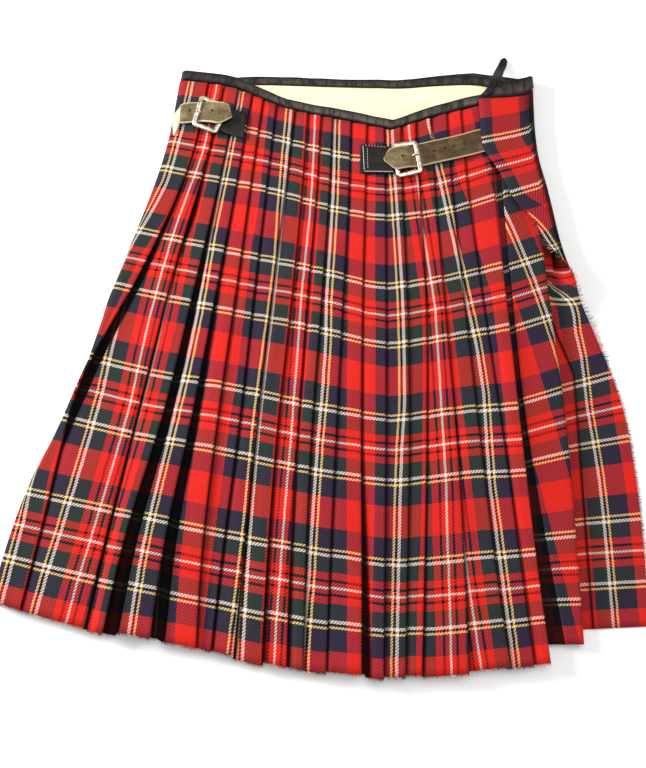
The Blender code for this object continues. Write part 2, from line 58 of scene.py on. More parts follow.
# %% Camera, table and light
CAMERA_HEIGHT = 0.918
CAMERA_BACK = 0.286        # how far it stands towards the hem from the middle of the tables' frame
CAMERA_LEFT = 0.00077
CAMERA_TILT = 15.2
FOCUS = 900.0              # the lens's focal length in image pixels
IMAGE_HEIGHT = 768
SENSOR = 36
TABLE_GAP = 0.0004         # so that the lowest cloth and the table never share a plane


def linear(hex_colour):
    """An sRGB hex colour as the linear red, green, blue and alpha that a shader wants."""
    parts = [int(hex_colour[i:i + 2], 16) / 255 for i in (1, 3, 5)]
    return tuple(c / 12.92 if c < 0.04045 else ((c + 0.055) / 1.055) ** 2.4 for c in parts) + (1.0,)


def add_camera():
    """The camera, whose lens is given by its focal length in image pixels."""
    camera = bpy.data.objects.new("camera", bpy.data.cameras.new("camera"))
    camera.data.lens = FOCUS / IMAGE_HEIGHT * SENSOR
    camera.data.sensor_width = SENSOR
    camera.data.clip_start = 0.01
    camera.location = (-CAMERA_LEFT, -CAMERA_BACK + SHIFT[1] * MM, CAMERA_HEIGHT)
    camera.rotation_euler = (math.radians(CAMERA_TILT), 0, 0)
    bpy.context.scene.collection.objects.link(camera)
    bpy.context.scene.camera = camera


def add_light(name, place, aim, size, power):
    """A white square lamp at place, turned towards aim."""
    light = bpy.data.lights.new(name, "AREA")
    light.size = size
    light.energy = power
    lamp = bpy.data.objects.new(name, light)
    lamp.location = place
    lamp.rotation_euler = (Vector(aim) - Vector(place)).to_track_quat("-Z", "Y").to_euler()
    bpy.context.scene.collection.objects.link(lamp)


def add_table():
    """A white table under the kilt. It is only for show, so it is staged."""
    mesh = bpy.data.meshes.new("table")
    mesh.from_pydata([(-3, -3, 0), (3, -3, 0), (3, 3, 0), (-3, 3, 0)], [], [(0, 1, 2, 3)])
    table = bpy.data.objects.new("table", mesh)
    table.location.z = -TABLE_GAP
    bpy.context.scene.collection.objects.link(table)
    paper = bpy.data.materials.new("matt white paper")
    paper.use_nodes = True
    shader = paper.node_tree.nodes["Principled BSDF"]
    shader.inputs["Base Color"].default_value = linear("#FBFBFA")
    shader.inputs["Roughness"].default_value = 0.9
    mesh.materials.append(paper)


add_camera()
add_table()
add_light("window from the left", (-1.6, 0.5, 0.75), (0, 0, 0), size=0.6, power=50)
add_light("soft overhead", (0.2, 0.3, 1.9), (0, 0, 0), size=1.4, power=20)
world = bpy.data.worlds.new("studio")
world.use_nodes = True
background = world.node_tree.nodes["Background"]
background.inputs["Color"].default_value = linear("#FFFFFF")
background.inputs["Strength"].default_value = 0.52
bpy.context.scene.world = world
bpy.context.scene.view_settings.view_transform = "Standard"      # keeps the reds as strong as the dye
print("camera and lights are in place")

# %% [markdown]
# ## The kilt's own measurements
# A kilt is one long strip of tartan. Its middle is pressed into knife pleats that are stitched down from
# waist to hip, and its two ends are left flat as aprons. Tables hold what was measured on it: the lines
# that the weft takes across the kilt, each pleat's pressed edge, and which part of the check falls on
# that edge. Everything else is worked out from them, so one number moves a whole pleat.

# %% Driving sizes, in millimetres
CLOTH = 1.0            # the height of one thickness of cloth in the stack
FOLD_R = 0.8           # the radius of a pleat's pressed edge
HIDDEN = 12.0          # how far a pleat runs back under its edge
BAND = 12.0            # the height of the waist binding
OVER_Z = 0.6           # heights above the table: the over-apron,
UNDER_Z = 3.6          # the under-apron,
LINING_Z = 5.1         # the lining,
FLOOR_Z = 6.8          # the lowest valley between pleats,
CREST_WAIST = 11.5     # and the pleats' faces at waist and hem
CREST_HEM = 14.5
APRON_TURN = 26.4      # the length of cloth in the over-apron's turned side
LENGTH = 597.0         # from the waist edge to the hem
STITCHED = 110         # how far down the pleats are stitched
WAIST_FADE = 150       # how far down the waist's shaping fades out
REPEAT = 144.8         # the check's repeat, the same in warp and weft
print("the cloth is", LENGTH, "mm long, and its check repeats every", REPEAT, "mm")

# %% Weft lines across the back
Row = namedtuple("Row", "name down left_x left_y far_y half_y near_y low_x low_y mid_y right_x right_y")
ROWS = (
    Row("waist", 0, -163, 336, 326.6, 298.4, 284.8, 80, 270.8, 291.4, 190, 306),
    Row("yoke", 88, -175, 244.2, 230.7, 215.6, 195.6, 66, 182.5, 191.2, 193, 210.4),
    Row("hip", 232, -215, 102.6, 86.0, 69.3, 54.6, 65, 33.7, 44.7, 197, 58.6),
    Row("thigh", 377, -262, -42.0, -63.5, -78.2, -97.8, 73, -111.2, -102.3, 205, -98.8),
    Row("knee", 521, -310, -184.1, -204.6, -224.9, -242.7, 75, -256.8, -250.8, 212, -243.8),
    Row("hem", 597, -327, -260.2, -286.1, -303.3, -324.1, 75, -331.7, -326.4, 219, -316.8),
)
print(len(ROWS), "weft lines, named", ", ".join(row.name for row in ROWS))

# %% The pleats
# The pressed edge on each line of ROWS. opens and stripe are pairs of a length down the cloth and a value:
# how far the valley beside the pleat stands open, and the check's place on the pressed edge.
Pleat = namedtuple("Pleat", "waist yoke hip thigh knee hem opens stripe")
PLEATS = [
    Pleat(-130.5, -144.5, -191, -253, -281, -295, ((232, 3.0), (377, 8.0), (440, 0.5)),
          ((0, 60.0), (90, 60.0), (140, 56.5), (190, 60.0), (232, 65.5), (280, 62.0), (330, 56.5),
           (377, 55.0), (420, 57.0), (470, 62.0), (521, 59.0), (597, 59.0))),
    Pleat(-111.6, -127.5, -160, -189, -217, -231, ((122, 0.5), (165, 3.5), (214, 0.5), (597, 1.5)),
          ((0, 80.5), (90, 78.0), (140, 81.0), (190, 83.0), (280, 83.2), (330, 82.4), (377, 80.5),
           (420, 81.5), (470, 82.8), (521, 85.0), (560, 88.0), (597, 89.5))),
    Pleat(-95, -109.5, -135, -163, -198, -212, ((232, 4.0), (377, 7.0), (597, 13.0)),
          ((0, 100.3), (90, 99.2), (190, 99.2), (232, 97.4), (280, 95.5), (377, 95.0), (420, 94.0),
           (470, 92.5), (597, 92.0))),
    Pleat(-79.5, -91.5, -112, -134, -158, -166, ((232, 1.0), (377, 5.0), (450, 7.0), (597, 12.0)),
          ((0, 118.0), (140, 119.0), (190, 119.5), (232, 118.0), (280, 117.2), (330, 118.0),
           (377, 120.0), (470, 120.7), (560, 122.6), (597, 123.0))),
    Pleat(-67, -77, -92, -108, -120, -122, ((232, 0.4),),
          ((0, 146.6), (40, 146.5), (90, 142.2), (140, 143.8), (232, 144.8), (300, 143.8),
           (377, 145.8), (420, 148.0), (597, 149.2))),
    Pleat(-52, -60, -73, -86, -101, -108, ((232, 0.4), (597, 0.8)),
          ((0, 168.0), (90, 166.2), (140, 165.0), (190, 167.5), (330, 167.0), (377, 169.0),
           (597, 169.0))),
    Pleat(-31, -39, -54, -68, -80, -86, ((377, 0.4), (597, 1.2)),
          ((0, 190.0), (90, 188.0), (140, 186.2), (190, 182.7), (232, 182.3), (280, 183.0),
           (377, 184.5), (470, 183.4), (521, 184.0), (597, 186.4))),
    Pleat(-17, -22, -33, -47, -56, -59, ((232, 0.3), (377, 0.8), (597, 2.5)),
          ((0, 205.0), (90, 204.0), (190, 204.0), (377, 204.0), (597, 204.0))),
    Pleat(-1, -6, -16, -26, -33, -35, ((377, 0.3), (597, 2.0)),
          ((0, 223.5), (90, 221.7), (140, 221.6), (232, 223.2), (280, 222.5), (377, 222.5),
           (420, 223.5), (521, 225.5), (560, 227.3), (597, 228.0))),
    Pleat(11.5, 7.5, -1.5, -12, -17.5, -19, ((232, 0.4),),
          ((0, 241.3), (140, 239.7), (232, 239.7), (377, 241.7), (420, 243.0), (597, 245.0))),
    Pleat(32, 29, 21, 13, 6, 3, ((232, 0.4),),
          ((0, 265.0), (90, 264.0), (232, 264.0), (280, 262.2), (330, 263.0), (377, 265.0),
           (521, 267.0), (560, 268.8), (597, 269.4))),
    Pleat(50, 47, 42, 39, 38, 37, ((232, 0.3), (377, 1.0), (597, 8.0)),
          ((0, 288.5), (377, 288.0), (521, 287.2), (597, 287.0))),
    Pleat(69, 69, 67, 64, 60, 58, ((377, 0.3), (597, 0.8)),
          ((0, 314.0), (90, 315.0), (140, 315.9), (190, 315.9), (232, 315.0), (470, 315.0),
           (597, 316.0))),
    Pleat(88, 88, 90, 88, 82, 79, ((232, 0.4),),
          ((0, 340.0), (45, 339.5), (90, 337.5), (140, 336.2), (232, 335.1), (330, 335.1),
           (377, 338.0), (420, 338.9), (597, 339.0))),
    Pleat(105, 107, 110, 106, 99, 95, ((377, 0.4), (597, 1.2)),
          ((0, 370.0), (45, 368.0), (85, 362.4), (118, 360.0), (165, 356.5), (232, 351.0),
           (470, 351.0), (521, 353.0), (597, 353.0))),
    Pleat(122, 124, 130, 137, 140, 140, ((232, 0.4),),
          ((0, 396.0), (20, 394.5), (45, 389.5), (65, 385.0), (85, 381.5), (118, 378.7), (165, 375.1),
           (232, 371.2), (330, 373.8), (420, 375.0), (470, 376.8), (597, 378.0))),
    Pleat(140, 143, 151, 161, 172, 180, ((232, 0.4),),
          ((0, 418.0), (20, 416.5), (45, 411.5), (65, 407.2), (85, 404.3), (118, 400.3), (165, 395.3),
           (232, 389.6), (597, 389.0))),
    Pleat(156, 160, 171, 185, 197, 203, ((232, 0.3), (597, 0.8)),
          ((0, 437.5), (20, 436.1), (45, 433.2), (85, 427.1), (118, 419.8), (165, 414.0), (232, 408.6),
           (280, 405.2), (330, 405.2), (377, 409.0), (420, 411.8), (597, 411.0))),
    Pleat(183, 189, 196, 204, 213, 219, ((232, 0.3),),
          ((0, 465.0), (45, 461.5), (85, 456.0), (118, 450.0), (165, 443.4), (232, 433.0),
           (330, 432.6), (597, 433.4))),
]
print(len(PLEATS), "pleats")

# %% The aprons' sides
# The under-apron beside the back. stripe is the check's place on its outer fold.
Under = namedtuple("Under", "down fold_x back_x edge_y tilt stripe")
UNDER = (
    Under(0, 230, 199, 322, 0.40, 110.0),
    Under(88, 234, 200, 226, 0.35, 90.0),
    Under(232, 243, 204, 70, 0.33, 52.0),
    Under(377, 252, 212, -79, 0.28, 27.0),
    Under(521, 254, 227, -227, 0.05, 1.6),
    Under(597, 254, 236, -301, 0.00, -12.0),
)

# The over-apron's right side. tilt is the slope of the flap's weft lines, and roll how far they fall away
# beside the turn. stripe is the check's place on its free edge.
Over = namedtuple("Over", "down side_x side_y turn flap drop tilt roll stripe")
OVER = (
    Over(0, 241, 330, 180, 56, 12, 0.22, 0.0, 175),
    Over(12, 241, 318, 180, 55.5, 12.8, 0.04, 8.0, 175),
    Over(31, 240.5, 299, 180, 54.5, 14.0, 0.17, 6.0, 174.6),
    Over(62, 240, 268, 180, 52, 16, 0.22, 5.5, 174),
    Over(94, 242, 234, 180, 37, 18, 0.29, 1.0, 173.5),
    Over(129, 249, 198, 180, 29, 18, 0.33, 0.0, 175),
    Over(154, 253, 172, 180, 16, 16, 0.33, 0.0, 183),
    Over(188, 258, 136, 178, 7, 12, 0.33, 0.0, 188),
    Over(225, 265, 98, 120, 4, 7, 0.22, 0.0, 176),
    Over(262, 275, 60, 40, 4, 3, 0.07, 0.0, 118),
    Over(297, 289.5, 22, 8, 4, 0, 0.01, 0.0, 121.5),
    Over(377, 314, -61, 0, 4, 0, 0.0, 0.0, 139.9),
    Over(450, 321.5, -136, 0, 4, 0, 0.0, 0.0, 141.5),
    Over(521, 323, -209, 0, 4, 0, 0.0, 0.0, 141.3),
    Over(597, 321, -284, 0, 4, 0, 0.0, 0.0, 138.5),
)
print(len(UNDER), "rows for the under-apron and", len(OVER), "for the over-apron")

# %% Reading the tables
def smooth(x, y, at):
    """A cubic curve through the points (x, y), read at one place."""
    slope = np.gradient(y, x)
    i = int(np.clip(np.searchsorted(x, at) - 1, 0, len(x) - 2))
    step = x[i + 1] - x[i]
    t = (at - x[i]) / step
    a = (1 + 2 * t) * (1 - t) ** 2 * y[i] + t * t * (3 - 2 * t) * y[i + 1]
    b = t * (1 - t) ** 2 * slope[i] + t * t * (t - 1) * slope[i + 1]
    return float(a + step * b)


@lru_cache(maxsize=None)
def read(table, column, down):
    """The value of a column at a length down the cloth, on a smooth curve through the table's rows."""
    x = np.array([row.down for row in table], float)
    return smooth(x, np.array([getattr(row, column) for row in table], float), down)


def weft_curve(x, value):
    """How high a weft line lies at x, from the stations in its row of the table."""
    if x < value["low_x"]:
        share = (value["low_x"] - x) / (value["low_x"] - value["left_x"])
        stations = np.array([0, 0.25, 0.5, 0.75, 1])
        heights = np.array([value[c] for c in ("low_y", "near_y", "half_y", "far_y", "left_y")])
    else:
        share = (x - value["low_x"]) / (value["right_x"] - value["low_x"])
        stations = np.array([0, 0.5, 1])
        heights = np.array([value[c] for c in ("low_y", "mid_y", "right_y")])
    if share > 1:
        return heights[-1] + (share - 1) * (heights[-1] - heights[-2]) / (stations[-1] - stations[-2])
    return smooth(stations, heights, share)


@lru_cache(maxsize=None)
def weft_line(down):
    """A weft line of the back as points x and y. Its lowest place is a sharp corner only at the waist."""
    value = {c: read(ROWS, c, down) for c in Row._fields[2:]}
    low = value["low_x"]
    left, right = value["left_x"] - 70, value["right_x"] + 70
    xs = np.concatenate([np.linspace(left, low, 130), np.linspace(low, right, 90)[1:]])
    ys = np.array([weft_curve(x, value) for x in xs])
    soft = 14 * min(1.0, down / WAIST_FADE)
    return xs, 0.5 * ys + 0.25 * (np.interp(xs - soft, xs, ys) + np.interp(xs + soft, xs, ys))


def weft_y(x, down):
    """How high a weft line of the back lies at x."""
    return float(np.interp(x, *weft_line(down)))


def apron_dip(down):
    """How far below the back's waist edge the aprons lie at the left fold."""
    return 7 * max(0.0, 1 - down / 88)


hip_width = read(ROWS, "right_x", 232) - read(ROWS, "left_x", 232)
print("at the hip the back is", round(hip_width), "mm wide")

# %% The aprons' waist edge
# (x, height) along the aprons' waist edge, which isn't straight.
RISE = np.array([(-110, 0), (-70, 1.2), (-27, -0.5), (8, -2.7), (89, -3.4), (136, 3.5), (182, 6.8),
                 (205, 3.2), (230, 0)])


@lru_cache(maxsize=None)
def waist_rise(x, down):
    """How far the aprons' waist edge is drawn up from a straight line at x. It fades out down the cloth."""
    inside = min(max(x, RISE[0, 0]), RISE[-1, 0])
    return smooth(RISE[:, 0], RISE[:, 1], inside) * max(0.0, 1 - down / WAIST_FADE)


print("the aprons' waist edge rises by up to", RISE[:, 1].max(), "mm")

# %% Reading the pleats
ROW_DOWNS = np.array([row.down for row in ROWS], float)


@lru_cache(maxsize=None)
def pleat_x(index, down):
    """Where a pleat's pressed edge lies."""
    return smooth(ROW_DOWNS, np.array(PLEATS[index][:6], float), down)


def read_pairs(pairs, down):
    """A value at a length down the cloth, from pairs of a length and a value."""
    return float(np.interp(down, [pair[0] for pair in pairs], [pair[1] for pair in pairs]))


@lru_cache(maxsize=None)
def pleat_open(index, down):
    """How far the valley beside a pleat stands open. It is shut where the pleats are stitched down."""
    return read_pairs(((0, 0.0), (STITCHED, 0.0)) + PLEATS[index].opens, down)


@lru_cache(maxsize=None)
def pleat_stripe(index, down):
    """The check's place on a pleat's pressed edge."""
    return read_pairs(PLEATS[index].stripe, down)


def loosened(down):
    """0 where the pleats are stitched down, 1 where they hang loose."""
    return float(np.clip((down - STITCHED) / 160, 0, 1))


def crest(index, down):
    """The height of a pleat's face beside its pressed edge."""
    loose = loosened(down)
    flat = CREST_WAIST + (CREST_HEM - CREST_WAIST) * loose
    uneven = 0.7 * math.sin(2.1 * index + 0.7) + 0.5 * math.sin(0.9 * index + down / 85)
    beside = max(pleat_open(index, down), 0.6 * pleat_open(max(index - 1, 0), down))
    return flat + loose * (uneven + 0.55 * beside)


print("the first pleat's face lies", round(crest(0, LENGTH), 1), "mm high at the hem")

# %% [markdown]
# ## Tartan, woven in code
# Tartan is a 2/2 twill: each weft thread passes over two warp threads and under two, one step further
# along in each row, so the two sets of stripes mix in diagonal lines. The stripes' order and widths are
# the sett, and it mirrors at its two pivots. An image could hold this, but a pattern worked out from
# the cloth's own coordinates stays sharp, and it follows each pleat. Every cloth mesh here carries a UV
# map that holds lengths of cloth in metres: U across the warp, V down from the waist. The twill's lines
# are drawn 3 mm apart, a few times coarser than the real thread, so that they show.

# %% Helpers for materials
def add_node(tree, kind, inputs=None, **settings):
    """A node with its settings. inputs maps a socket's name or number to a value or to another socket."""
    node = tree.nodes.new(kind)
    for name, value in settings.items():
        setattr(node, name, value)
    for key, value in (inputs or {}).items():
        socket = node.inputs[key]
        if isinstance(value, bpy.types.NodeSocket):
            tree.links.new(value, socket)
        else:
            socket.default_value = value
    return node


def maths(tree, operation, a, b=0.0, c=0.0):
    """One sum on numbers or sockets."""
    return add_node(tree, "ShaderNodeMath", {0: a, 1: b, 2: c}, operation=operation).outputs[0]


def blend(tree, factor, a, b, how="MIX"):
    """Two colours mixed, or multiplied, by a factor."""
    node = add_node(tree, "ShaderNodeMix", {0: factor, 6: a, 7: b}, data_type="RGBA", blend_type=how)
    return node.outputs[2]


def remap(tree, value, low, high, to_low, to_high):
    """Turns values from low to high into to_low to to_high, and holds them there beyond."""
    sockets = {0: value, 1: low, 2: high, 3: to_low, 4: to_high}
    return add_node(tree, "ShaderNodeMapRange", sockets).outputs[0]


def cloth_place(tree):
    """The cloth's own coordinates: how far across the warp, and how far down from the waist."""
    return add_node(tree, "ShaderNodeUVMap", uv_map="cloth").outputs[0]


def stretched_noise(tree, place, scale, **sockets):
    """Noise with its own scale along each direction of the cloth."""
    mapped = add_node(tree, "ShaderNodeMapping", {"Vector": place, "Scale": scale}).outputs[0]
    return add_node(tree, "ShaderNodeTexNoise", {"Vector": mapped, "Scale": 1.0, **sockets}).outputs[0]


def shade_by(tree, colour, tone):
    """A colour darkened or lightened by one number."""
    grey = add_node(tree, "ShaderNodeCombineColor", {0: tone, 1: tone, 2: tone})
    return blend(tree, 1.0, colour, grey.outputs[0], "MULTIPLY")


def add_bump(tree, shader, height, strength, distance):
    bump = add_node(tree, "ShaderNodeBump", {"Height": height, "Strength": strength, "Distance": distance})
    tree.links.new(bump.outputs[0], shader.inputs["Normal"])


def start_material(name, roughness, **sockets):
    """A new material, its node tree and its shader. sockets are the shader's, with _ for a space."""
    made = bpy.data.materials.new(name)
    made.use_nodes = True
    shader = made.node_tree.nodes["Principled BSDF"]
    shader.inputs["Roughness"].default_value = roughness
    for socket, value in sockets.items():
        shader.inputs[socket.replace("_", " ")].default_value = value
    return made, made.node_tree, shader


def plain_material(name, colour, roughness, **sockets):
    """A material of one colour all over."""
    made, _, shader = start_material(name, roughness, **sockets)
    shader.inputs["Base Color"].default_value = linear(colour)
    return made


print("helpers for materials are ready")

# %% The sett and the cloth
# One row for each stripe, from the middle of the broad red to the white pivot: its far edge in mm.
RED, NAVY, GREEN, BLACK = "#C4221A", "#282132", "#242D29", "#0C0606"
YELLOW, WHITE = "#DDBB78", "#D6C6BA"
SETT = [
    (15.4, RED), (35.3, NAVY), (37.5, YELLOW), (39.9, BLACK), (43.2, WHITE),
    (57.9, GREEN), (64.7, RED), (67.3, BLACK), (71.2, RED), (73.4, WHITE),
]
RED_CENTRE = 15.6      # the weft's first broad red is centred this far below the waist edge
TWILL = 3.1            # the drawn twill's diagonal pitch, along the warp and the weft alike


def stripe_colour(tree, coordinate):
    """The colour of the thread at a coordinate in metres, mirrored about both pivots."""
    half = REPEAT * MM / 2
    mirrored = maths(tree, "PINGPONG", coordinate, half)
    place = maths(tree, "DIVIDE", mirrored, half)
    ramp = add_node(tree, "ShaderNodeValToRGB", {0: place})
    ramp.color_ramp.interpolation = "CONSTANT"
    stops = ramp.color_ramp.elements
    stops.remove(stops[1])
    stops[0].position = 0.0
    stops[0].color = linear(SETT[0][1])
    starts = [far_edge for far_edge, colour in SETT]
    for start, (far_edge, colour) in zip(starts, SETT[1:]):
        stops.new(start * MM / half).color = linear(colour)
    return ramp.outputs["Color"]


def tartan_material(name):
    """Worsted tartan with painted shade: the mesh's own attribute darkens the colour, up to 1 where cloth
    lies deep in a fold.
    """
    made, tree, shader = start_material(name, 0.85, Sheen_Weight=0.04, Sheen_Roughness=0.45,
                                        Sheen_Tint=linear("#C88C86"), Specular_IOR_Level=0.12)
    place = cloth_place(tree)
    parts = add_node(tree, "ShaderNodeSeparateXYZ", {0: place})
    across, down = parts.outputs[0], parts.outputs[1]
    fold_depth_and_painted_shade = add_node(tree, "ShaderNodeAttribute", attribute_name="fold_depth_and_painted_shade").outputs["Fac"]
    wander = add_node(tree, "ShaderNodeTexNoise", {"Vector": place, "Scale": 90.0, "Detail": 2.0})
    shifted = maths(tree, "MULTIPLY_ADD", wander.outputs[0], 0.0012, across)
    warp = stripe_colour(tree, shifted)
    from_red = maths(tree, "SUBTRACT", down, RED_CENTRE * MM)
    weft = stripe_colour(tree, maths(tree, "MULTIPLY_ADD", wander.outputs[0], 0.0010, from_red))
    # Diagonal ribs that rise to the right.
    diagonal = maths(tree, "ADD", across, down)
    rib = maths(tree, "FRACT", maths(tree, "DIVIDE", diagonal, TWILL * MM))
    # Hairy yarns mix a little, so neither set of stripes hides the other.
    over = maths(tree, "MULTIPLY_ADD", maths(tree, "GREATER_THAN", rib, 0.5), 0.64, 0.18)
    colour = blend(tree, over, warp, weft)
    # Yarn that varies a little, thread by thread, and a slow fade over the cloth.
    threads = stretched_noise(tree, place, (260, 1900, 1), Detail=2.0)
    fade = add_node(tree, "ShaderNodeTexNoise", {"Vector": place, "Scale": 14.0, "Detail": 3.0})
    tone = maths(tree, "MULTIPLY_ADD", threads, 0.34, 0.83)
    tone = maths(tree, "MULTIPLY", tone, maths(tree, "MULTIPLY_ADD", fade.outputs[0], 0.24, 0.88))
    # Painted shade: the colour is darkened by the mesh's attribute, most where cloth lies deep in folds and
    # valleys.
    tone = maths(tree, "MULTIPLY", tone, maths(tree, "SUBTRACT", 1.0, maths(tree, "MULTIPLY", fold_depth_and_painted_shade, 0.96)))
    tree.links.new(shade_by(tree, colour, tone), shader.inputs["Base Color"])
    # Each rib is a round cord of yarn.
    round_rib = maths(tree, "SINE", maths(tree, "MULTIPLY", rib, 2 * math.pi))
    height = maths(tree, "MULTIPLY_ADD", threads, 0.8, round_rib)
    add_bump(tree, shader, height, strength=0.35, distance=0.0003)
    return made


tartan = tartan_material("worsted tartan, 2/2 twill")
print("the sett has", len(SETT), "stripes in half a repeat of", REPEAT, "mm")

# %% [markdown]
# ## Sheets of cloth from sections
# Each sheet is a stack of lines across the kilt, one for each centimetre or less down the cloth. A line
# is a section: up over the left fold, along a pleat's face, round its pressed edge, back under it and on
# to the next. The points on a line also say where they are on the strip of cloth, which becomes the UV
# map. The sheet then gets its thickness from a Solidify modifier.

# %% Building a sheet
def finish_object(name, mesh, material):
    """An object in the scene for a mesh, shaded smooth."""
    obj = bpy.data.objects.new(name, mesh)
    bpy.context.scene.collection.objects.link(obj)
    if material:
        mesh.materials.append(material)
    mesh.shade_smooth()
    return obj


def set_values(mesh, name, values, kind="FLOAT"):
    """Gives the mesh an attribute: one number, or one vector, for each of its points."""
    field = mesh.attributes.new(name, kind, "POINT")
    field.data.foreach_set("value" if kind == "FLOAT" else "vector", np.array(values, float).ravel())


def set_cloth(mesh, places):
    """Gives the mesh its points' cloth coordinates, in mm, as the UV map."""
    layer = mesh.uv_layers.new(name="cloth")
    flat = np.array(places, float).reshape(-1, 2) * MM
    corners = np.array([loop.vertex_index for loop in mesh.loops])
    layer.data.foreach_set("uv", flat[corners].ravel())


def sheet_mesh(name, grid, cloth_uv, material, thickness, fold_depth_and_painted_shade=None):
    """A sheet from a grid of points in mm with the cloth coordinates of each, thickened both ways."""
    grid = np.array(grid, float) + SHIFT
    rows, columns = grid.shape[:2]
    mesh = bpy.data.meshes.new(name)
    index = np.arange(rows * columns).reshape(rows, columns)
    a, b, c, d = index[:-1, :-1], index[:-1, 1:], index[1:, 1:], index[1:, :-1]
    faces = np.stack([a, d, c, b], axis=-1).reshape(-1, 4)
    mesh.from_pydata((grid.reshape(-1, 3) * MM).tolist(), [], faces.tolist())
    set_cloth(mesh, cloth_uv)
    # Each point's painted shade, which darkens the tartan there.
    set_values(mesh, "fold_depth_and_painted_shade", np.zeros(rows * columns) if fold_depth_and_painted_shade is None else fold_depth_and_painted_shade)
    obj = finish_object(name, mesh, material)
    modifier = obj.modifiers.new("wall", "SOLIDIFY")
    modifier.thickness = thickness * MM
    modifier.offset = 0
    return apply_modifiers(obj)


def apply_modifiers(obj):
    """Turns the object's evaluated shape into its own plain mesh."""
    bpy.context.view_layer.update()
    graph = bpy.context.evaluated_depsgraph_get()
    made = bpy.data.meshes.new_from_object(obj.evaluated_get(graph))
    obj.modifiers.clear()
    old = obj.data
    obj.data = made
    bpy.data.meshes.remove(old)
    return obj


print("sheets can be built")

# %% A rounder line
def curve_through(points):
    """A rounder line: a Catmull-Rom curve through the points, with one more point on each span."""
    points = np.array(points, float)
    ends = np.vstack([2 * points[0] - points[1], points, 2 * points[-1] - points[-2]])
    line = []
    for i in range(len(points) - 1):
        p0, p1, p2, p3 = ends[i:i + 4]
        knots = [0.0]
        for a, b in ((p0, p1), (p1, p2), (p2, p3)):
            knots.append(knots[-1] + max(np.linalg.norm((b - a)[:2]), 1e-3) ** 0.5)
        k0, k1, k2, k3 = knots
        for t in (k1, 0.5 * (k1 + k2)):
            a1 = (k1 - t) / (k1 - k0) * p0 + (t - k0) / (k1 - k0) * p1
            a2 = (k2 - t) / (k2 - k1) * p1 + (t - k1) / (k2 - k1) * p2
            a3 = (k3 - t) / (k3 - k2) * p2 + (t - k2) / (k3 - k2) * p3
            b1 = (k2 - t) / (k2 - k0) * a1 + (t - k0) / (k2 - k0) * a2
            b2 = (k3 - t) / (k3 - k1) * a2 + (t - k1) / (k3 - k1) * a3
            line.append((k2 - t) / (k2 - k1) * b1 + (t - k1) / (k2 - k1) * b2)
    line.append(points[-1])
    return np.array(line)


print("three points become", len(curve_through([(0, 0), (1, 1), (2, 0)])))

# %% [markdown]
# ## The pleated back
# Each pleat shows a face that ends in a pressed edge. Towards the hem the pleats come loose: they lift,
# lean and part, and between some of them a valley opens. The faces get a soft uneven swell that grows
# towards the hem, because worsted never lies quite flat.

# %% Sections of the back
# How far the left side is drawn in where the first pleat opens, at lengths down the cloth.
DRAWN_IN = ((280, 0), (315, 4.0), (347, 7.0), (377, 6.0), (412, 5.0), (440, 3.0), (465, 0))


